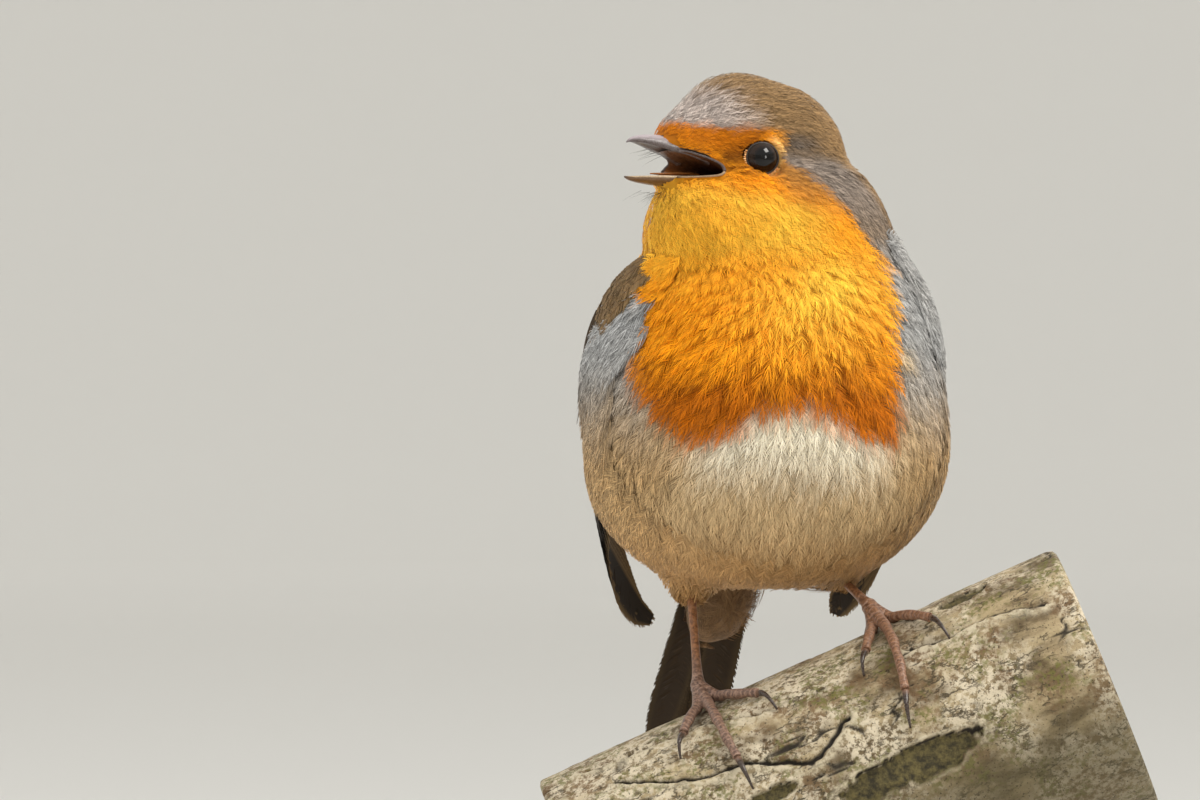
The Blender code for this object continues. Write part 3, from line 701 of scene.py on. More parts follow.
def plain_marking(places, head, trunk, patch, on_head):
    """The markings outside the orange face and breast."""
    height, forward, side = trunk[:, 2], trunk[:, 0], np.abs(trunk[:, 1])
    inside = orange_reach(places)
    rear_edge = np.interp(height, [30, 45, 54, 64], [-11, -10, -7, 2])
    flank = ramp(forward - rear_edge, -3.0, 3.0) * ramp(height, 68, 63)
    neck = ramp(inside, -9.5, -6.0) * on_head * ramp(head[:, 2], 3.0, 0.5)
    front_band = ramp(inside, -7.5, -3.0) * on_head * ramp(head[:, 0], 2.0, 8.0)
    forehead = np.maximum(front_band, ramp(head[:, 0], 8.0, 12.0) * on_head)
    edge_band = ramp(inside, -3.6, -2.0) * on_head * ramp(head[:, 2], 0.0, 2.5) * ramp(head[:, 0], -1, 6)
    paired = head * (1, 0, 1) + np.abs(head) * (0, 1, 0)
    behind_temple = 0.7 * bump_at(paired, (-9.5, 10.5, 2.4), (4, 4, 1.7))
    temple = np.maximum(bump_at(paired, (-5.0, 10.0, 3.4), (3.6, 4.0, 1.6)), behind_temple)
    shoulder = np.exp(-(((height - 54) / 10) ** 2)) * flank
    buff = flank * ramp(height + 2.5 * patch, 50, 31)
    belly = ramp(height, 46, 37) * ramp(side + 3 * patch, 22, 12) * ramp(forward, -14, -2)
    bright = ramp(height + 3 * patch, 26, 36) * ramp(side + 2 * patch, 19, 9)
    # the low belly, where a darker peach stands for painted shade
    under = ramp(height + 2.5 * patch, 27, 15) * ramp(forward, -22, -10)
    vent = ramp(height - 0.2 * forward, 34, 28) * ramp(forward, -10, -18)
    return painted(
        OLIVE_BROWN,
        (CROWN_BROWN, on_head * (0.85 + 0.2 * patch)),
        (ASH, flank),
        (NAPE_GREY, neck),
        (FOREHEAD_GREY, forehead * 0.9),
        (FOREHEAD_GREY, edge_band * 0.55),
        (TEMPLE_GREY, temple * on_head),
        (BLUE_ASH, shoulder * (0.6 + 0.6 * patch)),
        (BUFF, buff * 0.85),
        (TAN, belly),
        (CREAM, belly * bright),
        # peach low on the belly: painted shade under the round body
        (SHADED_PEACH, under * 0.85),
        (VENT_BROWN, vent * 0.9),
    )


def orange_marking(head, trunk, patch, on_head):
    """The face and breast: gold on the throat and upper breast is painted highlight where the key light
    falls, rust on the brow, and rust at the lower edge is painted shade under the round breast.
    """
    height, forward, up = trunk[:, 2], head[:, 0], head[:, 2]
    # painted highlight: the gold patches on the upper breast, where the key light falls
    painted_highlight = bump_at(trunk * (0, 1, 1), (0, 5, 57), (1, 12, 9))
    painted_highlight = np.maximum(painted_highlight, 0.8 * bump_at(trunk * (0, 1, 1), (0, -14, 66), (1, 7, 7)))
    # the throat's gold is painted highlight as well, on the ledge that faces the light
    throat = ramp(up, -4.0, -8.0) * ramp(height, 58, 66) * ramp(forward, -11, -4)
    brow = ramp(up, -2.5, 2.0) * on_head
    behind_eye = ramp(forward, 0.6, -2.6) * on_head * ramp(up, -9, -2)
    smudge = bump_at(head * (1, 0, 1), (5.0, 0, -0.3), (1.5, 1, 1.9)) * on_head
    from_eye = eye_distance(head)
    arcs = (0.5 + 0.5 * np.cos(from_eye * 2 * pi / 0.56)) * ramp(from_eye, 5.6, 3.6) * ramp(forward, 0.0, 2.0)
    crescent = np.exp(-(((from_eye - 3.25) / 0.6) ** 2)) * ramp(forward, 1.0, -0.5) * on_head
    return painted(
        ORANGE,
        # gold: painted highlight on the upper breast and throat
        (GOLD, np.maximum(painted_highlight, throat) * (0.9 + 0.3 * patch)),
        # rust towards the lower edge: painted shade under the round breast
        (RUST, ramp(height + 3.5 * patch, 50, 41) * 0.92),
        (RUST, brow * 0.70 * ramp(forward, -1, 3)),
        (AMBER, behind_eye * 0.85),
        (LORE_DARK, smudge * 0.75),
        (np.array(RUST) * 0.42, arcs * on_head * 0.65),
        (CRESCENT, crescent * 0.9),
    )


def marking(points):
    """The plumage's colour at places on or over the skin."""
    ragged = np.stack([clouds(points, 2.4 * MM, seed) for seed in (3, 4, 5)], axis=1) * 0.8 * MM
    places = points + ragged
    head, trunk = into(HEAD, places), into(TRUNK, places)
    on_head = head_share(places)
    patch = clouds(points, 9 * MM, 11, 3)
    mottle = clouds(points, 2.2 * MM, 12, 2)
    colours = plain_marking(places, head, trunk, patch, on_head)
    orange = orange_marking(head, trunk, patch, on_head) * (1 + 0.10 * mottle)[:, None]
    edge = 0.5 + 1.2 * ramp(trunk[:, 2], 46, 38)
    colours = laid_over(colours, orange, ramp(orange_reach(places), -edge, edge))
    colours = laid_over(colours, GOLD, 1.4 * bump_at(trunk, (19.2, 18.2, 48.4), (2, 2, 2)))
    return np.clip(colours * (1 + 0.10 * patch + 0.05 * mottle)[:, None], 0, 1)


def crispness(points):
    """How strongly single barbs stand out: clear on the flanks and crown, soft on the belly and throat."""
    trunk = into(TRUNK, points)
    inside = ramp(orange_reach(points), -1.0, 1.0)
    belly = ramp(trunk[:, 2], 44, 36) * ramp(np.abs(trunk[:, 1]), 22, 14)
    bib = 0.42 + 0.35 * ramp(trunk[:, 2], 58, 44)
    crisp = 1.15 + (bib - 1.15) * inside
    return crisp + (0.55 - crisp) * belly * (1 - inside)

# ---------------- lie of the coat


def on_perch(along, turn, lift):
    """A point lift mm over the perch's bark, in mm from its crest."""
    turn = radians(turn)
    centre = PERCH_AXIS * along - PERCH_TOP * PERCH_RADIUS
    outward = PERCH_TOP * cos(turn) + Vector((0, -1, 0)) * sin(turn)
    return centre + outward * (PERCH_RADIUS + PERCH_TAPER * along + lift)


# heel and foot of each leg, in mm from the crest of the perch
LEGS = {
    "right": ((-13.4, 10.4, 20.3), on_perch(-11.6, 5.0, 3.3)),
    "left": ((4.2, 17.2, 20.6), on_perch(17.4, 4.0, 3.6)),
}


def leg_distance(points):
    """How far points are from the nearer leg's middle line, in mm."""
    gaps = []
    for heel, foot in LEGS.values():
        start, run = np.array(heel), np.array(foot) - np.array(heel)
        off = (points / MM - (0, 0, CREST_HEIGHT / MM)) - start
        share = np.clip(off @ run / (run @ run), 0, 1)
        gaps.append(np.linalg.norm(off - share[:, None] * run, axis=1))
    return np.min(gaps, axis=0)


def thigh_share(points):
    """1 on the feathered thighs, 0 elsewhere."""
    low = ramp(points[:, 2], CREST_HEIGHT + 22 * MM, CREST_HEIGHT + 16 * MM)
    return ramp(leg_distance(points), 7.2, 5.8) * low


def lie(points, normals):
    """Which way the feathers point over the skin: back from the bill, then down and back to the tail."""
    head_place = into(HEAD, points)
    spread = np.array(HEAD @ Vector((15.5, 0, -1.5)))
    off_bill = unit(points - spread) + np.array([0, 0, -0.25])
    tail_end = np.array(TAIL_ROOT + TAIL_DIRECTION * 12 * MM)
    to_tail = unit(tail_end - points) + np.array([0, 0, -0.75])
    trunk = into(TRUNK, points)
    aside = trunk[:, 1] * ramp(trunk[:, 0], 5, 22) * ramp(trunk[:, 2], 24, 40) / 20
    to_tail = to_tail + aside[:, None] * 0.75 * np.array(unit(np.array(TRUNK.to_3x3() @ Vector((0, 1, 0)))))
    share = head_share(points)[:, None]
    way = off_bill * share + unit(to_tail) * (1 - share)
    for side in (1, -1):
        cap = lid_ring_middle(side)
        towards = unit(np.array(HEAD @ cap) - points)
        near = np.exp(-((np.linalg.norm(head_place - np.array(cap), axis=1) / 4.5) ** 2))[:, None]
        pull = np.sum(way * towards, axis=1, keepdims=True)
        way = way - towards * np.maximum(pull, 0) * near * 1.1
    sway = np.stack([clouds(points, 7 * MM, seed) for seed in (21, 22, 23)], axis=1)
    way = way + (0.15 - 0.07 * share) * sway
    way = way + (np.array([0.0, -0.1, -1.0]) - way) * thigh_share(points)[:, None]
    way = way - normals * np.sum(way * normals, axis=1, keepdims=True)
    return unit(way)

# ---------------- contour feathers


def skin_triangles():
    """The skin's faces as triangles, with their areas and middles."""
    quads = np.array([f if len(f) == 4 else (*f, f[-1]) for f in skin_faces])
    triangles = np.concatenate([quads[:, [0, 1, 2]], quads[:, [0, 2, 3]]])
    a, b, c = (skin_points[triangles[:, k]] for k in range(3))
    area = np.linalg.norm(np.cross(b - a, c - a), axis=1) / 2
    keep = area > 1e-12
    return triangles[keep], area[keep]


def roots(spacing_at, tries, seed):
    """Places on the skin at least spacing_at(places) apart, with the skin's normals there."""
    pick = np.random.default_rng(seed)
    triangles, area = skin_triangles()
    middles = skin_points[triangles].mean(axis=1)
    weight = area / spacing_at(middles) ** 2
    chosen = pick.choice(len(triangles), tries, p=weight / weight.sum())
    u, v = pick.random((2, tries))
    over = u + v > 1
    u, v = np.where(over, 1 - u, u), np.where(over, 1 - v, v)
    shares = np.stack([1 - u - v, u, v], axis=1)[:, :, None]
    places = (skin_points[triangles[chosen]] * shares).sum(axis=1)
    normals = unit((form_normals[triangles[chosen]] * shares).sum(axis=1))
    spacing = spacing_at(places)
    cell = float(spacing.max())
    grid, kept = {}, []
    cells = np.floor(places / cell).astype(int)
    around = list(np.ndindex(3, 3, 3))
    for i, (x, y, z) in enumerate(cells.tolist()):
        place, gap = places[i], spacing[i]
        clear = True
        for dx, dy, dz in around:
            for other in grid.get((x + dx - 1, y + dy - 1, z + dz - 1), ()):
                off = places[other] - place
                if off[0] * off[0] + off[1] * off[1] + off[2] * off[2] < gap * gap:
                    clear = False
                    break
            if not clear:
                break
        if clear:
            grid.setdefault((x, y, z), []).append(i)
            kept.append(i)
    return places[kept], normals[kept]


ROUNDNESS = 0.42  # how far a strand's shading turns away at its two sides
PATCH = 0.0015  # half the size of a feather's own patch on the skin's map


def barb_pattern(barbs, seed, width=0.30, fan=0.26, loose=0.0):
    """A feather's barbs on its flat vane: (barb, 3 stations, 2) as across and along, in shaft lengths."""
    pick = np.random.default_rng(seed)
    half = barbs // 2
    start = 0.06 + 0.90 * (np.arange(half) + 0.5) / half
    start = np.concatenate([start, start]) + pick.normal(0, 0.012, 2 * half)
    side = np.concatenate([np.ones(half), -np.ones(half)])
    reach = np.clip(fan * (1 - 0.45 * start) + 0.10 + pick.normal(0, 0.02 + 0.05 * loose, 2 * half), 0.08, 1)
    end = np.minimum(start + reach, 1.03 + pick.normal(0, 0.03 + 0.05 * loose, 2 * half))
    outline = width * np.clip(np.sin(pi * np.clip(end, 0, 1) ** 1.25), 0, 1) ** 0.6
    outline = np.maximum(outline, 0.015) * (1 + pick.normal(0, 0.05 + 0.16 * loose, 2 * half))
    across = np.stack([np.zeros(2 * half), side * outline * 0.60, side * outline], axis=1)
    along = np.stack([start, start + (end - start) * 0.48, end], axis=1)
    return np.stack([across, along], axis=-1)


def unwrapped(points):
    """Each point's place on a map of the skin: round the body's own axis, and along it."""
    low = np.array(TAIL_ROOT + TAIL_DIRECTION * 28 * MM)
    high = np.array(HEAD @ Vector((2, 0, 12)))
    axis = high - low
    length = np.linalg.norm(axis)
    axis = axis / length
    off = points - low
    along = off @ axis / length
    right = unit(np.cross(axis, np.array([0, 1.0, 0])))
    front = np.cross(right, axis)
    angle = np.arctan2(off @ right, off @ front)
    return np.stack([0.5 + angle / (2 * pi) * 0.96, 0.04 + 0.92 * np.clip(along, 0, 1)], axis=1)


def resting(tips, normals, surface):
    """The nearest places on a surface to the feathers' tips, with its normals there."""
    found = [surface.find_nearest(Vector(tip))[:2] for tip in tips]
    return np.array([place for place, _ in found]), np.array([normal for _, normal in found])


TIP_REACH = 12  # how far in mm over and under its tip a feather looks for a surface


def laid_on(tips, normals, surface):
    """The places on a surface straight under the feathers' tips, with its normals there."""
    places, turned = tips.copy(), normals.copy()
    for i, (tip, normal) in enumerate(zip(tips, normals)):
        start = Vector(tip) + Vector(normal) * TIP_REACH * MM
        hit, across, _, _ = surface.ray_cast(start, -Vector(normal), 2 * TIP_REACH * MM)
        if hit:
            places[i], turned[i] = hit, across
    return places, turned


def five_points(left, right, tip):
    """A barb's values at its five points: two on its left edge, two on its right, and its tip."""
    return np.concatenate([left[:, :, :2], right[:, :, :2], tip[:, :, 2:]], axis=2)


def feathers(name, places, normals, length, width, barbs, barb_width, lift, seed, finish, loose=0.0,
             jitter=0.10, way=None, tips_on=None, colour_places=None, sink=None):
    """One coat piece: a fan of barbs for each root, from the skin out to the plumage's outer shape.

    length, width and lift are arrays in metres: the shaft's length, half the vane's width and how
    far the tip stands over the skin.
    """
    pick = np.random.default_rng(seed)
    count = len(places)
    way = lie(places, normals) if way is None else way
    turn = pick.normal(0, jitter, count)[:, None]
    way = unit(way + np.cross(normals, way) * turn)
    length = length * pick.uniform(0.82, 1.18, count)

    tips = places + way * length[:, None]
    tips, tip_normals = tips_on(tips, normals) if tips_on else resting(tips, normals, outside)
    turned_in = unit(tip_normals + normals)
    depth = coat_depth(tips) if sink is None else sink
    tips = tips - tip_normals * (depth - lift * pick.uniform(0.86, 1.03, count))[:, None]
    belly_of_curve = places + way * (length * 0.42)[:, None]
    belly_of_curve = belly_of_curve + normals * (lift * pick.uniform(0.88, 1.03, count))[:, None]

    pattern = np.stack([barb_pattern(barbs, seed + k, 1.0, loose=loose) for k in range(6)])
    kind = pick.integers(0, len(pattern), count)
    flat = pattern[kind]  # count, barbs, 3, 2
    n = flat.shape[1]
    s = flat[..., 1]
    across = flat[..., 0] * width[:, None, None]

    t = s[..., None]
    root, bend, tip = (a[:, None, None, :] for a in (places, belly_of_curve, tips))
    centre = (1 - t) ** 2 * root + 2 * t * (1 - t) * bend + t**2 * tip
    run = unit(2 * (1 - t) * (bend - root) + 2 * t * (tip - bend))
    outward = unit(normals[:, None, None, :] * (1 - t) + turned_in[:, None, None, :] * t)
    side = unit(np.cross(run, outward))
    outward = np.cross(side, run)
    droop = across**2 / (14 * MM + 10 * MM * (1 - head_share(places)))[:, None, None]
    ruffle = pick.normal(0, 1, (count, n, 1)) * np.array([0.0, 0.35, 1.0]) * (0.035 + 0.16 * loose) * MM
    line = centre + side * across[..., None] + outward * (ruffle - droop)[..., None]

    step = np.diff(line, axis=2)
    heading = unit(np.concatenate([step, step[:, :, -1:]], axis=2))
    roll = pick.normal(0, 0.3, (count, n, 1, 1))
    broad = unit(np.cross(heading, outward + side * roll))
    half_width = barb_width * np.array([0.5, 0.42, 0.0]) * pick.uniform(0.7, 1.3, (count, n, 1))
    left = line + broad * half_width[..., None]
    right = line - broad * half_width[..., None]
    points = five_points(left, right, line).reshape(-1, 3)
    base = np.arange(count * n)[:, None] * 5
    mesh = solid_mesh(name, points, [base + np.array([[0, 1, 3, 2]]), base + np.array([[1, 4, 3]])])
    rounded = five_points(outward + broad * ROUNDNESS, outward - broad * ROUNDNESS, outward)
    set_normals(mesh, rounded.reshape(-1, 3))

    seen = (places if colour_places is None else colour_places) + way * (length * 0.62)[:, None]
    colours = marking(seen) * pick.uniform(0.90, 1.10, count)[:, None]
    crisp = crispness(seen)[:, None]
    strand = np.repeat(0.5 + (pick.random((count, n)) - 0.5) * crisp, 5)
    along = 1 - (1 - five_points(s, s, s)) * np.minimum(crisp, 1)[..., None]
    patch = PATCH * np.stack([flat[..., 0], flat[..., 1] * 2 - 1], axis=-1)
    patch = unwrapped(places)[:, None, None, :] + five_points(patch, patch, patch)
    dress(mesh, np.repeat(colours, n * 5, axis=0), strand, along.ravel(), patch.reshape(-1, 2))
    put(name, mesh, finish)


def rim_of(faces):
    """The corners along the open edges of a set of faces."""
    edges = []
    for k in range(4):
        edges.extend((face[k], face[(k + 1) % len(face)]) for face in faces if k < len(face))
    found, count = np.unique(np.sort(np.array(edges), axis=1), axis=0, return_counts=True)
    return np.unique(found[count == 1])


GAPE_SNAP = 1.3  # how far from the gape's outline a cut edge may lie to be moved onto it, in mm


def snap_to_gape(points, faces):
    """Moves the skin's cut edge onto the gape's own outline."""
    rim = rim_of(faces)
    outline = []
    for side in (1, -1):
        for edge, raised in ((UPPER_GAPE, 1), (LOWER_GAPE, 0)):
            line = smooth_rows(np.array(edge) * (1, side, 1), 24)
            line[:, 2] += raised * feather_line(line[:, 0])
            outline.append(line)
    outline = np.concatenate(outline)
    for index, place in zip(rim, into(HEAD, points[rim])):
        gap = np.linalg.norm(outline - place, axis=1)
        if gap.min() < GAPE_SNAP:
            points[index] = out_of(HEAD, outline[gap.argmin()][None])[0]
    return points


def skin_piece():
    points = snap_to_gape(skin_points.copy(), skin_faces)
    mesh = solid_mesh("skin", points, [np.array([f for f in skin_faces if len(f) == k]) for k in (3, 4)])
    count = len(skin_points)
    # the skin takes the plumage's markings at 0.55: a darker copy of the coat, painted shade deep among the
    # feathers
    dress(mesh, marking(skin_points) * 0.55, np.full(count, 0.5), np.full(count, 0.6), unwrapped(skin_points))
    finish = feather_finish("skin in painted shade", 0.5, 0.2)
    put("skin", mesh, finish, stands_for=FLESH_NODES)


def bare(head_place):
    """Which places grow no feathers: the eyes, the open mouth and the bill."""
    return (eye_distance(head_place) < EYE_OPENING + 0.40) | on_bill(head_place) | gaping(head_place, 0.12)


COAT_TRIES = 150000
# name, longest feather in mm, barbs to a feather, their width in mm, looseness, number of pieces
COAT_PIECES = (
    ("face_feathers", 2.6, 14, 0.085, 0.0, 1),
    ("head_feathers", 4.2, 22, 0.085, 0.04, 2),
    ("body_feathers", 99.0, 36, 0.10, 0.09, 5),
)


def coat():
    """All of the contour feathers: small and close on the head, long and loose on the belly."""
    soft = feather_finish("close plumage", 0.5, 0.75)

    def near_face(points):
        on_head = into(HEAD, points)
        return np.minimum(ramp(eye_distance(on_head), 2.6, 7.0), ramp(bill_distance(on_head), 3.5, 10.0))

    def spacing(points):
        share = head_share(points)
        on_head = 0.40 + 0.24 * near_face(points)
        rear = ramp(points[:, 1], 2 * MM, 14 * MM)
        low = ramp(points[:, 2], CREST_HEIGHT + 62 * MM, CREST_HEIGHT + 50 * MM)
        on_body = 0.84 + 0.16 * low + 0.28 * rear
        return (on_body + (on_head - on_body) * share) * MM

    places, normals = roots(spacing, COAT_TRIES, 101)
    keep = ~bare(into(HEAD, places)) & (places[:, 2] > CREST_HEIGHT + 4 * MM)
    places, normals = places[keep], normals[keep]
    trunk, share = into(TRUNK, places), head_share(places)
    on_head = 1.2 + 2.9 * near_face(places)
    on_body = 3.9 + 2.0 * ramp(trunk[:, 2], 68, 48) + 0.8 * ramp(trunk[:, 2], 34, 22)
    length = (on_body + (on_head - on_body) * share) * MM
    length = length + (2.2 * MM - length) * thigh_share(places)
    tips = into(HEAD, places + lie(places, normals) * length[:, None])
    clear = (eye_distance(tips) > EYE_OPENING + 0.12) & ~gaping(tips, -0.35) & ~on_bill(tips, 0.7)
    places, normals, trunk, length = places[clear], normals[clear], trunk[clear], length[clear]
    shortest = 0.0
    for word, longest, barbs, barb_width, loose, pieces in COAT_PIECES:
        chosen = np.flatnonzero((length >= shortest * MM) & (length < longest * MM))
        shortest = longest
        chosen = chosen[np.argsort(trunk[chosen, 0])]
        for number, index in enumerate(np.array_split(chosen, pieces), 1):
            feathers(
                f"{word}_{number}", places[index], normals[index], length[index], length[index] * 0.25, barbs,
                barb_width * MM, coat_depth(places[index]) * 0.98, 500 + barbs + number, soft, loose=loose,
            )


skin_piece()
coat()


# how far back the flank's feathers reach over each folded wing: height and forward, in the shoulders' frame
FLANK_EDGES = {
    "right": [(14, -11), (18, -13), (22, -15), (30, -18), (42, -18), (46, -16), (50, -6),
              (54, 2.2), (58, 2.8), (66, 3.0)],
    "left": [(14, -11), (18, -11), (30, -12), (42, -10.5), (50, -8.5), (56, -6.5),
             (60, -4.5), (64, -2), (68, 0)],
}
FLANK_WAY = (-0.80, 0.0, -0.60)
SHOULDER_EDGE = [(46, -33), (50, -27), (54, -21), (58, -16), (62, -12), (66, -8)]
SHOULDER_WAY = (-0.75, 0.0, -0.66)
FLANK_TRIES, SHOULDER_TRIES = 2750, 800  # the flank's pieces stay under 200,000 triangles each
FEATHER_DROP, FEATHER_BACK = 4.5, 5.5  # how far below and behind its root such a feather ends, in mm
FURTHEST_FORWARD = 15.0
BESIDE_WING = (57.0, 64.5)  # the heights between which a feather may start over the orange
BESIDE_WING_DEPTH = 5.0
ON_WING = 0.8  # mm off the body's own skin
INSIDE_ORANGE = 0.4
DRAPED_SHARE = 0.40  # how much shorter those on the breast are
DRAPED_BARBS, DRAPED_BARB_WIDTH = 24, 0.125 * MM
DRAPED_SINK = 0.05 * MM  # how deep their tips lie in what carries them
DRAPE_VOXEL, DRAPE_ROUNDS = 0.7 * MM, 34  # of the smooth form that they lie on
BREAST_FACING = 0.32  # how much a place on the orange faces forward where it belongs to the breast


def draped_roots(side, edge, surface, pick, tries, reach):
    """Roots on the body's side and the wing, up to reach mm ahead of where their feathers end,
    which of them belong to the orange breast, and how far off the body's own skin they are in mm."""
    heights, ends = zip(*edge)
    inward = (SHOULDERS.to_3x3() @ Vector((0, -side, 0))).normalized()
    places, normals, near_wing = [], [], []
    for _ in range(tries):
        up = pick.uniform(heights[0], heights[-1])
        spare = pick.uniform(0, reach)
        forward = np.interp(up - FEATHER_DROP, heights, ends) + FEATHER_BACK + spare
        if forward > FURTHEST_FORWARD:
            continue
        hit, normal, _, _ = surface.ray_cast(SHOULDERS @ Vector((forward, side * 50, up)), inward, 0.06)
        if hit:
            places.append(hit)
            normals.append(normal)
            near_wing.append(BESIDE_WING[0] < up < BESIDE_WING[1] and spare < BESIDE_WING_DEPTH)
    places, normals = np.array(places), np.array(normals)
    orange = orange_reach(places) > INSIDE_ORANGE
    off_skin = np.array([outside.find_nearest(place)[3] for place in places]) / MM
    on_wing = off_skin > ON_WING
    breast = orange & (~on_wing | (normals @ np.array(TRUNK.to_3x3())[:, 0] > BREAST_FACING))
    kept = on_wing | ~orange | np.array(near_wing)
    return places[kept], normals[kept], breast[kept], off_skin[kept]


def draped(name, side, roots_found, surface, finish, seed, way, length, rise, forward_from):
    """Long soft feathers laid over whatever they reach. They take the colours of places forward of them."""
    places, normals, breast, off_skin = roots_found
    pick = np.random.default_rng(seed)
    way = np.array((SHOULDERS.to_3x3() @ Vector(way)).normalized())
    way = way + 0.16 * np.stack([clouds(places, 8 * MM, k) for k in (31, 32, 33)], axis=1)
    way = unit(way - normals * np.sum(way * normals, axis=1, keepdims=True))
    trunk = into(TRUNK, places)
    shift = forward_from - trunk[:, 0]
    shift = np.maximum(0, shift) if forward_from > 0 else np.minimum(0, shift)
    aside = 3.0 * side * ramp(trunk[:, 2], 44, 54) * (forward_from > 0)
    down = np.minimum(0, 58 - trunk[:, 2])
    coloured = places + np.stack([shift, aside, down], axis=1) @ np.array(TRUNK.to_3x3()).T
    coloured[breast] = places[breast]
    length = pick.uniform(*length, len(places)) * (1 - DRAPED_SHARE * breast) * MM
    height = rise * (0.45 + 0.55 * ramp(off_skin, 0.3, 3.0)) * MM
    feathers(
        name, places - normals * 0.4 * MM, normals, length, length * 0.20, DRAPED_BARBS,
        DRAPED_BARB_WIDTH, height, seed, finish, loose=0.14, jitter=0.18, way=way,
        tips_on=lambda tips, out: laid_on(tips, out, surface), colour_places=coloured,
        sink=np.full(len(places), DRAPED_SINK),
    )


def flanks():
    """The long soft feathers of flank and shoulder, which lie over the edges of each folded wing."""
    soft = feather_finish("loose plumage", 0.62, 0.9)
    wing_nodes = ("wing_left", "wing_right", "primaries_left", "primaries_right")
    over = touchable(melted_form(FLESH_NODES + wing_nodes, DRAPE_VOXEL, DRAPE_ROUNDS))
    for side, word in SIDES:
        pick = np.random.default_rng(70 + side)
        for name, edge, tries, reach, seed, *how in (
            ("flank", FLANK_EDGES[word], FLANK_TRIES, 17, 80, FLANK_WAY, (6.5, 9.5), 0.95, 5.0),
            ("shoulder", SHOULDER_EDGE, SHOULDER_TRIES, 7, 90, SHOULDER_WAY, (6.0, 9.0), 1.6, -16.0),
        ):
            found = draped_roots(side, edge, over, pick, tries, reach)
            draped(f"{name}_feathers_{word}", side, found, over, soft, seed + side, *how)


flanks()

# ---------------- vaned feathers


class Vanes:
    """Collects stiff feathers, each a thin vane, its barbs and its shaft, for one piece of the coat."""

    def __init__(self, seed):
        self.pick = np.random.default_rng(seed)
        kinds = ("points", "quads", "normals", "colours", "strands", "alongs", "maps")
        self.parts = {kind: [] for kind in kinds}
        self.count = 0

    def add(self, points, quads, normals, colours, strand, along, spot, patch):
        n = len(points)
        found = (
            points, np.asarray(quads) + self.count, normals.reshape(-1, 3), np.broadcast_to(colours, (n, 3)),
            np.broadcast_to(strand, n), np.broadcast_to(along, n), spot + PATCH * patch.reshape(n, 2),
        )
        for part, values in zip(self.parts.values(), found):
            part.append(values)
        self.count += n

    def feather(self, line, up, near_width, far_width, core, fringe, pitch=0.42 * MM, fringe_width=0.25,
                shaft=0.22 * MM, slant=0.85, blunt=2.4, splay=0.0):
        """A feather along line, with up its outer side. near and far are its two vanes' half widths."""
        lengths = np.concatenate([[0], np.cumsum(np.linalg.norm(np.diff(line, axis=0), axis=1))])
        total = lengths[-1]
        shares = lengths / total
        run = unit(np.gradient(line, axis=0))
        across = unit(np.cross(run, up))
        up = np.cross(across, run)

        def at(values, share):
            return np.stack([np.interp(share, shares, values[:, k]) for k in range(3)], axis=-1)

        def outline(share):
            body = np.clip(share / 0.16, 0, 1) ** 0.6
            end = np.clip((share - 0.62) / 0.38, 0, 1) ** blunt
            return body * np.sqrt(np.clip(1 - end, 0, 1))

        def place(share, off, height=0.0):
            width = np.where(off > 0, near_width, far_width)
            a = off * width
            dip = a**2 / (16 * MM) + 0.02 * MM
            risen = at(up, share) * (height - dip)[..., None]
            return at(line, share) + at(across, share) * a[..., None] + risen

        spot = unwrapped(line[:1])[0]
        # the vane itself, a little under its barbs
        rows, columns = 15, 7
        share = np.linspace(0.03, 0.985, rows)[:, None] + np.zeros(columns)
        off = np.linspace(-1, 1, columns) * outline(share) * 0.93
        sheet = place(share, off, -0.07 * MM).reshape(-1, 3)
        edge = np.abs(np.linspace(-1, 1, columns))[None, :] + np.zeros((rows, 1))
        colours = laid_over(core, fringe, ramp(edge.ravel(), 1 - fringe_width, 1.0))
        patch = np.stack([off, share * 2 - 1], axis=-1)
        quads = grid_faces(rows, columns, wrap=False)
        self.add(sheet, quads, at(up, share), colours * 0.8, 0.5, 0.8, spot, patch)
        # barbs
        number = max(8, int(total / pitch))
        start = 0.03 + 0.93 * (np.arange(number) + 0.5) / number
        start = np.concatenate([start, start])
        sign = np.concatenate([np.ones(number), -np.ones(number)])
        width = np.where(sign > 0, near_width, far_width)
        reach = width / total / np.tan(slant) * (1 - 0.35 * start) + self.pick.normal(0, 0.004, 2 * number)
        end = np.minimum(start + reach, 0.985 + 0.02 * self.pick.random(2 * number))
        full = outline(end) * (1 + self.pick.normal(0, 0.012 + splay, 2 * number))
        s = np.stack([start, start + (end - start) * 0.45, end], axis=1)
        o = np.stack([np.zeros(2 * number), 0.62 * full, full], axis=1) * sign[:, None]
        height = self.pick.normal(0, 0.02 * MM, (2 * number, 1)) + np.array([0.0, 0.0, 0.03 * MM])
        spine = place(s, o, height)
        heading = unit(np.concatenate([np.diff(spine, axis=1), spine[:, 2:] - spine[:, 1:2]], axis=1))
        outward = at(up, s)
        roll = self.pick.normal(0, 0.3, (2 * number, 1, 1))
        broad = unit(np.cross(heading, outward + at(across, s) * roll))
        half = np.array([0.62, 0.6, 0.12]) * pitch * self.pick.uniform(0.75, 1.15, (2 * number, 1))
        left, right = spine + broad * half[..., None], spine - broad * half[..., None]
        points = np.concatenate([left, right], axis=1).reshape(-1, 3)
        base = np.arange(2 * number)[:, None] * 6
        quads = np.concatenate([base + np.array([[0, 1, 4, 3]]), base + np.array([[1, 2, 5, 4]])])
        share_out = np.tile(np.array([0.0, 0.62, 1.0, 0.0, 0.62, 1.0]), 2 * number)
        colours = laid_over(core, fringe, ramp(share_out, 1 - fringe_width * 1.6, 1.0))
        strand = np.repeat(self.pick.random(2 * number), 6)
        patch = np.stack([np.clip(o, -1, 1), s * 2 - 1], axis=-1)
        patch = np.concatenate([patch, patch], axis=1)
        rounded = np.concatenate([outward + broad * 0.4, outward - broad * 0.4], axis=1)
        self.add(points, quads, rounded, colours, strand, 0.8, spot, patch)
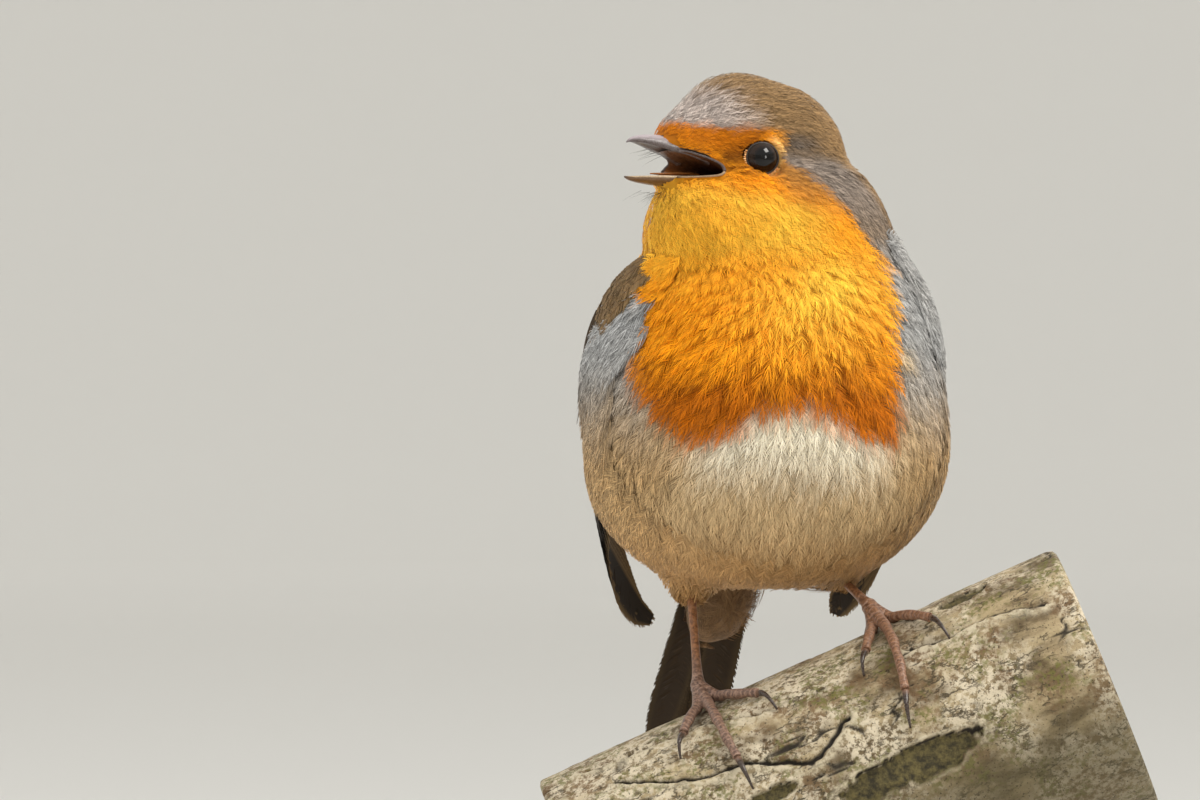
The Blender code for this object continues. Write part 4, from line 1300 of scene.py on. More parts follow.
        # shaft
        share = np.linspace(0.0, 0.97, 14)
        thick = shaft * (1 - 0.85 * share)
        middle, side, out = at(line, share), at(across, share), at(up, share)
        rings = np.stack([middle + side * thick[:, None], middle + out * (thick * 1.1)[:, None],
                          middle - side * thick[:, None], middle - out * (thick * 0.6)[:, None]], axis=1)
        patch = np.repeat(np.stack([share * 0, share * 2 - 1], axis=-1), 4, axis=0)
        turned = np.stack([side, out, -side, -out], axis=1)
        dark, quads = np.array(core) * 0.55, grid_faces(14, 4)[:, ::-1]
        self.add(rings.reshape(-1, 3), quads, turned, dark, 0.5, 0.9, spot, patch)

    def piece(self, name, finish, slot_name, stands_for):
        points, quads, normals, *carried = (np.concatenate(part) for part in self.parts.values())
        mesh = solid_mesh(name, points, [quads])
        set_normals(mesh, normals)
        dress(mesh, *carried)
        put(name, mesh, finish, stands_for=stands_for)

# ---------------- wings

WING_BROWN = (0.105, 0.063, 0.030)
WING_DARK = (0.030, 0.020, 0.012)
OLIVE_FRINGE = (0.26, 0.165, 0.068)
PALE_TIP = (0.62, 0.42, 0.22)
COVERT_BROWN = (0.185, 0.108, 0.044)
COVERT_FRINGE = (0.25, 0.165, 0.075)
COVERT_ROWS = 8
HIDDEN_FROM = 0.6  # a feather that ends this far in mm under the flank's is left out

# forward, outward, up, half width down the flank, half thickness: from the shoulder to the tip
WING_ROWS = [
    (9.0, 19.9, 62.0, 2.5, 1.2),
    (6.0, 22.9, 59.0, 6.5, 2.4),
    (-1.0, 25.7, 52.5, 9.5, 3.0),
    (-9.5, 26.2, 44.5, 11.0, 3.1),
    (-18.0, 24.6, 36.0, 10.6, 2.9),
    (-26.0, 22.6, 27.0, 8.4, 2.4),
    (-33.0, 19.6, 19.0, 5.8, 1.8),
    (-38.8, 16.8, 13.0, 4.4, 1.3),
    (-42.0, 15.0, 9.6, 3.2, 0.9),
    (-43.6, 14.2, 8.0, 1.3, 0.4),
]


class Wing:
    """The folded wing's outer surface: s runs from the shoulder to the tip, v from the back to the belly."""

    def __init__(self, side, word, inset, tip_side, tuck):
        self.side, self.word = side, word
        rows = smooth_rows(WING_ROWS, 4)
        share = np.linspace(0, 1, len(rows))
        turned, ease = ramp(share, 0.4, 0.82)[:, None], share**2
        outward = rows[:, 1] + (tip_side - WING_ROWS[-1][1]) * ease - inset * (1 - ease) - tuck * turned[:, 0]
        centres = np.stack([rows[:, 0], side * outward, rows[:, 2]], axis=1)
        self.centres = out_of(SHOULDERS, centres)
        run = unit(np.gradient(self.centres, axis=0))
        upright = np.array(SHOULDERS.to_3x3() @ Vector((0.05, side, 0.22)))
        folded_over = np.array(SHOULDERS.to_3x3() @ Vector((-0.6, 0.6 * side, 0.42)))
        facing_out = upright + (folded_over - upright) * turned
        down = unit(np.cross(run, facing_out)) * side
        self.run, self.down = run, down
        self.out = unit(np.cross(down, run)) * side
        self.half, self.thick = rows[:, 3] * MM, rows[:, 4] * MM
        steps = np.concatenate([[0], np.cumsum(np.linalg.norm(np.diff(self.centres, axis=0), axis=1))])
        self.length, self.shares = steps[-1], steps / steps[-1]

    def at(self, values, s):
        if values.ndim == 1:
            return np.interp(s, self.shares, values)
        return np.stack([np.interp(s, self.shares, values[:, k]) for k in range(3)], axis=-1)

    def surface(self, s, v, lift):
        """Points on the wing, and the wing's outer side there."""
        down, out = self.at(self.down, s), self.at(self.out, s)
        rise = np.sqrt(np.clip(1 - np.clip(np.abs(v), 0, 0.96) ** 2, 0.02, 1))
        points = self.at(self.centres, s) + down * (self.at(self.half, s) * v)[..., None]
        points = points + out * (self.at(self.thick, s) * rise + lift)[..., None]
        return points, unit(out + down * (v * 0.45)[..., None])

    def feather(self, vanes, start, end, width, layer, core, fringe, lean=0.0, **how):
        """A feather from start (s, v) to end, its base under the layer above. The flank may hide it."""
        t = np.linspace(0, 1, 13)
        s = start[0] + (end[0] - start[0]) * t
        v = start[1] + (end[1] - start[1]) * t + lean * np.sin(pi * t)
        lift = (layer - 0.35 * (1 - t) ** 1.5 + 0.10 * t) * MM
        line, up = self.surface(s, v, lift)
        forward, _, height = into(SHOULDERS, line[-1:])[0]
        if forward > np.interp(height, *zip(*FLANK_EDGES[self.word])) + HIDDEN_FROM:
            return
        leading, trailing = width if isinstance(width, tuple) else (width, width)
        near, far = (trailing, leading) if self.side > 0 else (leading, trailing)
        vanes.feather(line, up, near * MM, far * MM, core, fringe, **how)


def wings():
    finish = feather_finish("vaned plumage", 0.8, 0.42)
    for side, word, inset, tip_side, tuck in ((1, "left", 2.6, 22.0, 0.0), (-1, "right", 2.1, 8.6, 2.2)):
        wing = Wing(side, word, inset, tip_side, tuck)
        flight, arm = Vanes(40 + side), Vanes(50 + side)

        def tone(colour):
            return np.array(colour) * flight.pick.uniform(0.88, 1.12)

        for i in range(8):
            t = i / 7
            end = (1.0 - 0.030 * i - 0.016 * i * t, 0.42 - 0.85 * t)
            wing.feather(flight, (0.34, 0.62), end, (2.3, 4.6), -0.62 + 0.085 * i, tone(WING_DARK),
                         OLIVE_FRINGE, lean=0.12, fringe_width=0.14, slant=0.62)
        for i in range(6):
            t = i / 5
            wing.feather(flight, (0.26, 0.35 - 0.6 * t), (0.745 - 0.022 * i, -0.32 - 0.42 * t), (2.6, 4.2),
                         0.10 + 0.08 * i, tone(WING_BROWN), OLIVE_FRINGE, fringe_width=0.2, slant=0.7)
        for i in range(3):
            wing.feather(flight, (0.22, -0.45 - 0.1 * i), (0.66 - 0.075 * i, -0.70 - 0.06 * i), (3.8, 3.6),
                         0.62 + 0.12 * i, tone(WING_BROWN), OLIVE_FRINGE, fringe_width=0.22, slant=0.8)
        for i in range(7):
            t = i / 6
            wing.feather(arm, (0.22 + 0.02 * t, 0.86 - 0.3 * t), (0.46 - 0.03 * i, 0.80 - 0.42 * t), 1.9,
                         -0.45 + 0.06 * i, tone(WING_DARK), OLIVE_FRINGE, fringe_width=0.2)
        for i in range(3):
            wing.feather(arm, (0.12, 0.86), (0.38 - 0.05 * i, 0.95 - 0.14 * i), 1.7, -0.2 + 0.08 * i,
                         tone(WING_DARK), PALE_TIP, fringe_width=0.25)
        for i in range(10):
            t = i / 9
            wing.feather(arm, (0.20 + 0.06 * t, 0.72 - 1.5 * t), (0.41 + 0.07 * t, 0.50 - 1.32 * t), 2.3,
                         -0.12 + 0.04 * i, tone(WING_BROWN), PALE_TIP if i < 6 else OLIVE_FRINGE,
                         fringe_width=0.24, blunt=3.0)
        for row in range(COVERT_ROWS):
            number = 11 - row // 2
            for i in range(number):
                t = (i + 0.5 * (row % 2)) / number
                end = 0.325 - 0.042 * row + 0.075 * (t - 0.4) + flight.pick.uniform(-0.006, 0.006)
                wing.feather(arm, (end - 0.125, 1.0 - 1.95 * t), (end, 0.9 - 1.85 * t), 1.75 - 0.06 * row,
                             0.16 + 0.075 * row + 0.012 * i, tone(COVERT_BROWN), COVERT_FRINGE,
                             pitch=0.27 * MM, fringe_width=0.34, shaft=0.07 * MM, blunt=2.0, splay=0.10)
        flight.piece(f"flight_feathers_{word}", finish, "flight feathers", (f"primaries_{word}",))
        arm.piece(f"wing_coverts_{word}", finish, "wing coverts", (f"wing_{word}",))


wings()

# ---------------- tail

TAIL_LENGTH = 57.0


def tail():
    """Twelve feathers in a closed stack, the middle pair uppermost."""
    vanes = Vanes(61)
    for rank in range(5, -1, -1):
        for side in (1, -1):
            t = np.linspace(0, 1, 14)
            spread = rank / 5
            along = 2 + (TAIL_LENGTH - 2.5 - 1.6 * abs(spread - 0.55)) * t
            aside = side * (0.5 + 2.9 * spread * (0.35 + 0.65 * t))
            height = 1.9 - 0.30 * rank - 0.024 * aside**2 + 0.08 * side
            line = out_of(TAIL, np.stack([along, aside, height], axis=1))
            up = np.tile(np.array(TAIL.to_3x3() @ Vector((0, 0.10 * side * spread, 1))), (14, 1))
            outer, inner = 2.3 + 0.6 * (rank == 0), 3.6 - 0.7 * (rank == 0)
            near, far = (inner, outer) if side > 0 else (outer, inner)
            tone = np.array(WING_BROWN) * vanes.pick.uniform(0.36, 0.5)
            vanes.feather(line, unit(up), near * MM, far * MM, tone, np.array(OLIVE_FRINGE) * 0.3,
                          pitch=0.5 * MM, fringe_width=0.15, slant=0.62, blunt=3.4)
    vanes.piece("tail_feathers", feather_finish("tail plumage", 0.8, 0.4), "flight feathers", ("tail",))


tail()

# ---------------- eyes


def wet_eye():
    made = Finish("wet eye")
    ring = made.attribute("iris")
    streaks = made.noise(0.25 * MM, detail=3.0)
    brown = made.mix(streaks, (0.010, 0.0045, 0.0025), (0.028, 0.013, 0.006))
    return made.finished(Base_Color=made.mix(ring, (0.002, 0.0015, 0.0015), brown), Roughness=0.03, IOR=1.36)


def lid_skin():
    made = Finish("lid skin")
    rough = made.use(fine_relief, Size=0.10, Depth=0.04).outputs
    colour = made.mix(rough["Pits"], (0.006, 0.005, 0.004), (0.030, 0.020, 0.014))
    return made.finished(Base_Color=colour, Roughness=0.38, Normal=rough["Normal"])


def scale_feathers():
    made = Finish("eye ring feathers")
    tone = made.noise(0.4 * MM)
    colour = made.mix(made.remap(tone, 0.4, 0.6), (0.46, 0.16, 0.035), (0.90, 0.50, 0.20))
    return made.finished(Base_Color=colour, Roughness=0.7, Normal=made.bump(made.noise(0.1 * MM), 0.04 * MM))


def scales_on_ring(name, place, finish, start, sweep):
    """Tiny scale feathers standing outwards round part of the lids, set out by Geometry Nodes."""
    tree = bpy.data.node_groups.new("arc of scale feathers", "GeometryNodeTree")
    face = tree.interface
    sizes = {"Radius": 2.72 * MM, "Scale": 0.15 * MM, "Start": start, "Sweep": sweep}
    for key, value in sizes.items():
        face.new_socket(key, in_out="INPUT", socket_type=NUMBER).default_value = value
    for key, value in {"Count": 27, "Seed": 5}.items():
        face.new_socket(key, in_out="INPUT", socket_type="NodeSocketInt").default_value = value
    face.new_socket("Finish", in_out="INPUT", socket_type="NodeSocketMaterial")
    face.new_socket("Geometry", in_out="OUTPUT", socket_type="NodeSocketGeometry")
    first, last = tree.nodes.new("NodeGroupInput"), tree.nodes.new("NodeGroupOutput")

    def node(kind, settings=None, **inputs):
        return add_node(tree, kind, settings, **inputs)

    takes = first.outputs
    arc = node("GeometryNodeCurveArc", Resolution=64, Radius=takes["Radius"], Start_Angle=takes["Start"],
               Sweep_Angle=takes["Sweep"])
    spots = node("GeometryNodeCurveToPoints", Curve=arc.outputs["Curve"], Count=takes["Count"])
    scale = node("GeometryNodeMeshIcoSphere", Subdivisions=2, Radius=takes["Scale"])
    vary = node("FunctionNodeRandomValue", {"data_type": "FLOAT_VECTOR"}, Seed=takes["Seed"])
    vary.inputs[0].default_value = (1.6, 0.55, 0.8)
    vary.inputs[1].default_value = (2.7, 0.80, 1.1)
    placed = node("GeometryNodeInstanceOnPoints", Points=spots.outputs["Points"],
                  Instance=scale.outputs["Mesh"], Rotation=spots.outputs["Rotation"], Scale=vary.outputs[0])
    real = node("GeometryNodeRealizeInstances", Geometry=placed.outputs[0])
    coloured = node("GeometryNodeSetMaterial", Geometry=real.outputs[0], Material=takes["Finish"])
    tree.links.new(coloured.outputs[0], last.inputs["Geometry"])
    obj = new_object(name, bpy.data.meshes.new(name))
    layer = obj.modifiers.new("scale feathers", "NODES")
    layer.node_group = tree
    layer[face.items_tree["Finish"].identifier] = finish
    mesh = evaluated(obj)
    mesh.transform(place)
    put(name, mesh, finish)


def opening(angle):
    """The lids' half width at an angle from the rear of the eye: round, a little flatter above."""
    return EYE_OPENING * (1 - 0.045 * np.clip(np.sin(angle), 0, 1) ** 3 + 0.02 * np.cos(2 * angle))


def eyes():
    ball_finish, lid_finish, scale_finish = wet_eye(), lid_skin(), scale_feathers()
    for side, word in SIDES:
        turn = eye_axis(side).to_track_quat("Z", "Y").to_matrix().to_4x4()
        place = HEAD @ Matrix.Translation(eye_middle(side)) @ turn
        angles, around = np.linspace(0, pi, 30), circle(64)
        rise = EYE_RADIUS + 0.14 * np.exp(-((angles / 0.5) ** 2))
        ring = np.stack([
            np.outer(rise * np.sin(angles), np.cos(around)),
            np.outer(rise * np.sin(angles), np.sin(around)),
            np.outer(rise * np.cos(angles), np.ones(64)),
        ], axis=-1)
        mesh = lofted(f"eye_{word}_ball", ring, place)
        off_axis = np.append(np.repeat(angles, 64), [0.0, pi])
        add_numbers(mesh, "iris", ramp(off_axis, 0.50, 0.58) * ramp(off_axis, 1.1, 0.9))
        put(f"eye_{word}_ball", mesh, ball_finish, stands_for=(f"eye_{word}",))

        across = circle(16)
        radius = opening(around)[:, None] + 0.09 + 0.17 * np.cos(across)
        height = np.broadcast_to(EYE_SEAT - 0.06 + 0.17 * np.sin(across), radius.shape)
        lid = np.stack([radius * np.cos(around)[:, None], radius * np.sin(around)[:, None], height], axis=-1)
        ring_faces = grid_faces(65, 16) % (64 * 16)
        mesh = solid_mesh(f"lids_{word}", out_of(place, lid.reshape(-1, 3)), [ring_faces])
        put(f"lids_{word}", mesh, lid_finish)
        # the scales sit below the eye, from its front corner round to the back
        start = radians(168) if side > 0 else radians(202)
        lift = place @ Matrix.Translation((0, 0, EYE_SEAT - 0.08)) @ Matrix.Scale(1000, 4)
        scales_on_ring(f"eye_ring_{word}", lift, scale_finish, start, radians(170))


eyes()

# ---------------- bill and mouth

def horn(name, side, rim, rim_width, tip, tip_from, back):
    """Layered horn: one colour over its upper part, a painted reflection on the upper bill; another along the
    cutting edge, on the upper bill its dark horn with painted shade; its own colour at the tip; long streaks
    and small pits.
    """
    made = Finish(name)
    along, height = made.attribute("along"), made.attribute("height")
    streak = made.noise(0.9 * MM, place=made.object_place((1.0, 1.0, 3.4)), detail=4.0)
    uneven = made.times(made.less(streak, 0.5), 0.7)
    share = made.math("ADD", made.remap(height, rim_width, rim_width * 0.3), uneven, clamp=True)
    share = made.math("MAXIMUM", share, made.remap(along, 0.42, 0.05, 0.0, back))
    # side covers the upper part; on the upper bill it is pale lilac, a painted reflection of the sky
    colour = made.mix(share, side, rim)
    colour = made.mix(made.remap(along, tip_from, 1.0), colour, tip)
    rough = made.use(fine_relief, Size=0.22, Depth=0.04).outputs
    colour = made.over(colour, tuple(0.5 * c for c in side), rough["Pits"], 0.35)
    return made.finished(Base_Color=colour, Roughness=made.remap(streak, 0.2, 0.8, 0.27, 0.42),
                         Normal=rough["Normal"])


def nostril_depth(places):
    """How deep the nostril's slit cuts into the upper bill at places in the head's frame, in mm."""
    along, up = (places[:, 0] - 13.4) / 0.75, (places[:, 2] - 0.05) / 0.24
    return 0.32 * np.exp(-(along**2) - (up + 0.25 * along) ** 2)


def bill_half(name, rows, finish, stands_for):
    rows = smooth_rows(rows, 14)
    over = np.linspace(0, pi, 33)
    back = np.linspace(0, 1, 16)[1:-1]
    rings, heights = [], []
    for forward, half_width, ridge, edge, hollow in rows:
        rise = np.sin(over) ** 0.8
        outside_height, inside_height = edge + (ridge - edge) * rise, edge + hollow * np.sin(pi * back)
        outer = np.column_stack([np.full(33, forward), half_width * np.cos(over), outside_height])
        inner = np.column_stack([np.full(14, forward), -half_width * (1 - 2 * back) * 0.88, inside_height])
        rings.append(np.concatenate([outer, inner]))
        heights.append(np.concatenate([rise, np.full(14, 0.1)]))
    rings, heights = np.array(rings), np.array(heights)
    if name == "upper_bill":
        flat = rings.reshape(-1, 3)
        flat[:, 1] -= np.sign(flat[:, 1]) * nostril_depth(flat) * (heights.ravel() > 0.11)
        rings = flat.reshape(rings.shape)
    mesh = lofted(name, rings, HEAD)
    share = np.repeat(np.linspace(0, 1, len(rows)), rings.shape[1])
    add_numbers(mesh, "along", np.append(share, [0, 1]))
    add_numbers(mesh, "height", np.append(heights.ravel(), [0.5, 0.5]))
    put(name, mesh, finish, stands_for=stands_for)


def tubes(name, lines, columns=8, place=HEAD):
    """One mesh of closed tapering tubes. Each line is rows of (x, y, z, radius), in mm of a frame."""
    points, faces, along, count = [], [], [], 0
    around = circle(columns)
    for line in lines:
        line = np.asarray(line, float)
        run = unit(np.gradient(line[:, :3], axis=0))
        first = unit(np.cross(run, np.where(np.abs(run[:, 2:]) < 0.9, (0.0, 0.0, 1.0), (1.0, 0.0, 0.0))))
        second = np.cross(run, first)
        round_it = first[:, None] * np.cos(around)[:, None] + second[:, None] * np.sin(around)[:, None]
        ring = line[:, None, :3] + round_it * line[:, None, 3:]
        rows = len(line)
        points.extend([ring.reshape(-1, 3), line[:1, :3], line[-1:, :3]])
        faces.extend(closed_faces(rows, columns, count))
        along.append(np.append(np.repeat(np.linspace(0, 1, rows), columns), [0, 1]))
        count += rows * columns + 2
    mesh = face_outwards(solid_mesh(name, out_of(place, np.concatenate(points)), faces))
    add_numbers(mesh, "along", np.concatenate(along))
    add_numbers(mesh, "height", np.full(count, 0.2))
    return mesh


def gape_edges(upper_finish, lower_finish):
    """The narrow horny edges that run back from the bill to the corners of the mouth."""
    edges = (("upper", UPPER_GAPE, upper_finish, 0.22, 0.14),
             ("lower", LOWER_GAPE, lower_finish, 0.19, -0.05))
    for word, edge, finish, thick, rise in edges:
        lines = []
        for side in (1, -1):
            line = smooth_rows(np.array(edge) * (1, side, 1), 8)
            line[:, 2] += rise
            radius = thick * (0.75 + 0.45 * np.linspace(1, 0, len(line)) ** 3)
            lines.append(np.column_stack([line, radius]))
        name = f"gape_edge_{word}"
        put(name, tubes(name, lines, 12), finish)


def lining_with_painted_shade():
    made = Finish("moist lining")
    along = made.attribute("along")
    folds = made.noise(0.5 * MM, detail=3.0)
    front = made.mix(folds, (0.26, 0.085, 0.018), (0.50, 0.19, 0.045))
    # darker deeper into the throat: painted shade inside the mouth
    colour = made.mix(made.remap(along, 0.12, 0.75), front, (0.030, 0.010, 0.005))
    # darker on the palate: painted shade under the upper bill
    colour = made.mix(made.times(made.attribute("palate"), 0.8), colour, (0.045, 0.016, 0.008))
    rough = made.use(fine_relief, Size=0.4, Depth=0.08).outputs
    return made.finished(Base_Color=colour, Roughness=0.34, Normal=rough["Normal"])


# half of the open mouth's outline, from the palate round the corner to the floor, in the head's frame
MOUTH_OUTLINE = [
    (12.6, 0.0, -0.95), (12.6, 2.6, -1.2), (11.6, 3.8, -1.1), (10.2, 4.6, -1.25), (8.6, 5.45, -1.5),
    (7.5, 6.5, -1.95), (7.2, 7.5, -2.55), (7.3, 8.15, -3.2), (7.8, 8.1, -3.75), (8.8, 7.2, -4.2),
    (10.0, 5.9, -4.55), (11.2, 4.5, -4.8), (12.2, 3.0, -5.05), (12.6, 0.0, -5.3),
]


# forward, half width, top and underside of the tongue
TONGUE = [
    (6.5, 1.0, -3.15, -3.6), (9.5, 1.3, -3.65, -4.2), (12.5, 1.0, -4.4, -4.85), (15.0, 0.15, -5.05, -5.25),
]


def mouth():
    """The lining of the open gape, from the bill's inner edges into the throat, and the tongue."""
    lining = lining_with_painted_shade()
    half = smooth_rows(MOUTH_OUTLINE, 4)
    rim = np.concatenate([half, half[-2:0:-1] * (1, -1, 1)])
    angle = np.linspace(pi / 2, -3 * pi / 2, len(rim), endpoint=False)
    throat = np.stack([np.full(len(rim), 0.5), 2.5 * np.cos(angle), -3.4 + 0.6 * np.sin(angle)], axis=1)
    shares = np.linspace(0, 1, 22)
    rings = []
    for share in shares:
        ring = rim + (throat - rim) * share
        ring[:, 0] = rim[:, 0] + (throat[:, 0] - rim[:, 0]) * share**1.2
        rings.append(ring)
    rings = np.array(rings)
    quads = grid_faces(*rings.shape[:2])[:, ::-1]
    mesh = solid_mesh("mouth_lining", out_of(HEAD, rings.reshape(-1, 3)), [quads])
    add_numbers(mesh, "along", np.repeat(shares, len(rim)))
    add_numbers(mesh, "palate", ramp(rings[:, :, 2].ravel(), -3.3, -2.3))
    put("mouth_lining", mesh, lining)

    rows = smooth_rows(TONGUE, 6)
    around = circle(18)
    rings = np.array([
        np.stack([np.full(18, f), w * np.cos(around),
                  (top + low) / 2 + (top - low) / 2 * np.sin(around)], axis=1)
        for f, w, top, low in rows
    ])
    mesh = lofted("tongue_tip", rings, HEAD)
    add_numbers(mesh, "along", np.full(len(mesh.vertices), 0.12))
    put("tongue_tip", mesh, lining, stands_for=("tongue",))


def bristle_horn():
    made = Finish("dark bristle")
    tone = made.noise(0.6 * MM)
    return made.finished(Base_Color=made.mix(tone, (0.006, 0.004, 0.003), (0.035, 0.022, 0.014)),
                         Roughness=0.4)


def hair(start, way, reach, radius):
    """A fine tapering hair that droops a little towards its tip."""
    t = np.linspace(0, 1, 7)[:, None]
    path = start + unit(way) * reach * t - np.array([0, 0, 0.16]) * reach * t**2
    return np.column_stack([path, radius * (1 - 0.85 * t)])


def bristles():
    """Fine dark bristles at the gape, and hairs that stand out from the chin."""
    pick = np.random.default_rng(61)
    hairs = []
    for side in (1, -1):
        for share in np.linspace(0, 1, 11):
            start = np.array([8.6 + 3.6 * share, 5.9 - 2.4 * share, -0.75 + 0.5 * share])
            start = start + pick.normal(0, 0.18, 3)
            way = np.array([0.92, 0.34 - 0.1 * share, -0.28]) + pick.normal(0, 0.10, 3)
            turned = np.array([1, side, 1])
            hairs.append(hair(start * turned, way * turned, pick.uniform(2.2, 4.6), 0.035))
    for _ in range(34):
        start = np.array([pick.uniform(9.5, 14.0), pick.uniform(-3.6, 3.6), pick.uniform(-7.9, -7.3)])
        way = np.array([0.85, 0.12 * start[1], -0.42]) + pick.normal(0, 0.16, 3)
        hairs.append(hair(start, way, pick.uniform(2.0, 3.2), 0.022))
    put("bristles", tubes("bristles", hairs, columns=4), bristle_horn())


# upper bill: pale lilac over the ridge is a painted reflection of the sky; the dark lower half is the horn's
# own colour with painted shade along the cutting edge
dark_horn_painted_reflection = horn("dark horn with painted reflection", (0.40, 0.335, 0.35), (0.050, 0.032, 0.025), 0.92, (0.16, 0.13, 0.13),
                 0.86, 0.85)
pale_horn = horn("pale horn", (0.145, 0.072, 0.028), (0.56, 0.42, 0.27), 0.32, (0.10, 0.065, 0.045),
                 0.84, 0.0)
bill_half("upper_bill", UPPER_BILL, dark_horn_painted_reflection, ("bill_upper",))
bill_half("lower_bill", LOWER_BILL, pale_horn, ("bill_lower",))
gape_edges(dark_horn_painted_reflection, pale_horn)
mouth()
bristles()

# ---------------- legs, feet and claws

# Each toe's places where it rests on the perch: distance along it in mm, and degrees round it from its
# crest. The last is the claw's tip.
TOES = {
    "right": {
        1: [(-12, -12), (-12.8, -30), (-13.2, -47)],
        2: [(-9.4, 10), (-6.4, 20), (-3.6, 27), (-1.8, 41)],
        3: [(-11.2, 16), (-10.9, 32), (-10.6, 47), (-10.2, 58), (-9.8, 74)],
        4: [(-13, 14), (-15, 24), (-16.4, 32), (-18.3, 45)],
    },
    "left": {
        1: [(16.6, -11), (15.4, -27), (14, -42)],
        2: [(16.6, 12), (15.4, 22), (14.2, 31), (12.4, 44)],
        3: [(18.4, 17), (18.6, 33), (18.2, 48), (17.4, 60), (15.9, 76)],
        4: [(19.8, 9), (22.6, 18), (25.2, 28), (26.7, 44)],
    },
}
PAD_RADIUS = 0.92
CLAW_ROOT_RADIUS = 0.56
FOOT_VOXEL = 0.13 * MM
SCUTE = 0.95  # length of a toe's ring scale, in mm


def toe_path(foot, stations):
    """A toe from the foot's hub over its resting places: x, y, z and radius at each bend, in mm."""
    rests = [on_perch(*place, PAD_RADIUS - 0.05) for place in stations]
    rows = [(*foot, 1.15), (*((foot + rests[0]) / 2), 0.88)]
    for i, rest in enumerate(rests):
        rows.append((*rest, PAD_RADIUS * (1 - 0.07 * i)))
        if i + 1 < len(rests):
            between = [(a + b) / 2 for a, b in zip(stations[i], stations[i + 1])]
            rows.append((*on_perch(*between, PAD_RADIUS + 0.05), PAD_RADIUS * 0.8 * (1 - 0.07 * i)))
    return rows


def claw_path(toe, tip):
    """A claw that rises from its toe and bends down to its tip on the bark."""
    last, before = Vector(toe[-1][:3]), Vector(toe[-2][:3])
    start = last + (last - before).normalized() * 0.42
    end = on_perch(*tip, 0.12)
    outward = (start - PERCH_AXIS * start.dot(PERCH_AXIS) + PERCH_TOP * PERCH_RADIUS).normalized()
    rows = []
    for t in np.linspace(0, 1, 16):
        arch = 1.5 * 4 * t * (1 - t) * (0.55 + 0.45 * t)
        radius = CLAW_ROOT_RADIUS + (0.16 - CLAW_ROOT_RADIUS) * t
        rows.append((*(start + (end - start) * t + outward * arch), radius))
    return rows


def leather():
    """Ring scales over fine grained skin: warm brown on the shank, purplish on the toes."""
    made = Finish("scaled leg skin")
    ring, toes, under = made.attribute("ring"), made.attribute("toes"), made.attribute("under")
    wander = made.times(made.noise(1.3 * MM, detail=3.0), 1.8)
    cycle = made.math("FRACT", made.plus(ring, wander))
    groove = made.math("PINGPONG", cycle, 0.5)
    groove = made.times(made.remap(groove, 0.13, 0.0), made.less(1.0, under))
    mottle = made.noise(0.45 * MM, detail=4.0)
    warm = made.mix(made.remap(mottle, 0.3, 0.7), (0.120, 0.045, 0.018), (0.36, 0.165, 0.070))
    purple = made.mix(made.remap(mottle, 0.3, 0.7), (0.070, 0.036, 0.027), (0.30, 0.180, 0.125))
    colour = made.mix(toes, warm, purple)
    colour = made.over(colour, (0.030, 0.013, 0.010), groove, 0.5)
    pale = made.times(made.remap(cycle, 0.62, 0.86), made.less(0.5, made.times(under, 0.5)))
    colour = made.mix(pale, colour, (0.46, 0.29, 0.21))
    rough = made.use(fine_relief, Size=0.16, Depth=0.035).outputs
    low = made.less(1.0, groove)
    normal = made.bump(low, 0.06 * MM, 0.8, below=rough["Normal"])
    return made.finished(Base_Color=colour, Roughness=made.remap(mottle, 0.3, 0.7, 0.36, 0.5), Normal=normal)


def claw_horn():
    made = Finish("claw horn")
    along = made.attribute("along")
    streak = made.noise(0.5 * MM, place=made.object_place((1.0, 1.0, 2.5)), detail=4.0)
    colour = made.mix(streak, (0.016, 0.010, 0.008), (0.085, 0.058, 0.045))
    colour = made.mix(made.remap(along, 0.22, 0.0), colour, (0.22, 0.13, 0.09))
    rough = made.use(fine_relief, Size=0.15, Depth=0.02).outputs
    return made.finished(Base_Color=colour, Roughness=made.remap(streak, 0.2, 0.8, 0.22, 0.36),
                         Normal=rough["Normal"])


def ring_numbers(points, paths):
    """For points in mm: how many ring scales along their toe, and how far under it they lie."""
    best = np.full(len(points), 99.0)
    ring, under = np.zeros(len(points)), np.zeros(len(points))
    axis, crest = np.array(PERCH_AXIS), np.array(PERCH_TOP)
    for path, pitch in paths:
        walked = 0.0
        for start, end in zip(path[:-1], path[1:]):
            start, run = start[:3], end[:3] - start[:3]
            length = np.linalg.norm(run)
            share = np.clip((points - start) @ run / length**2, 0, 1)
            off = points - start - share[:, None] * run
            gap = np.linalg.norm(off, axis=1)
            closer = gap < best
            best = np.where(closer, gap, best)
            ring = np.where(closer, (walked + share * length) / pitch, ring)
            inward = unit(axis * (start @ axis) - crest * PERCH_RADIUS - start)
            under = np.where(closer, unit(off) @ inward, under)
            walked += length
    return ring, ramp(under, 0.15, 0.6)


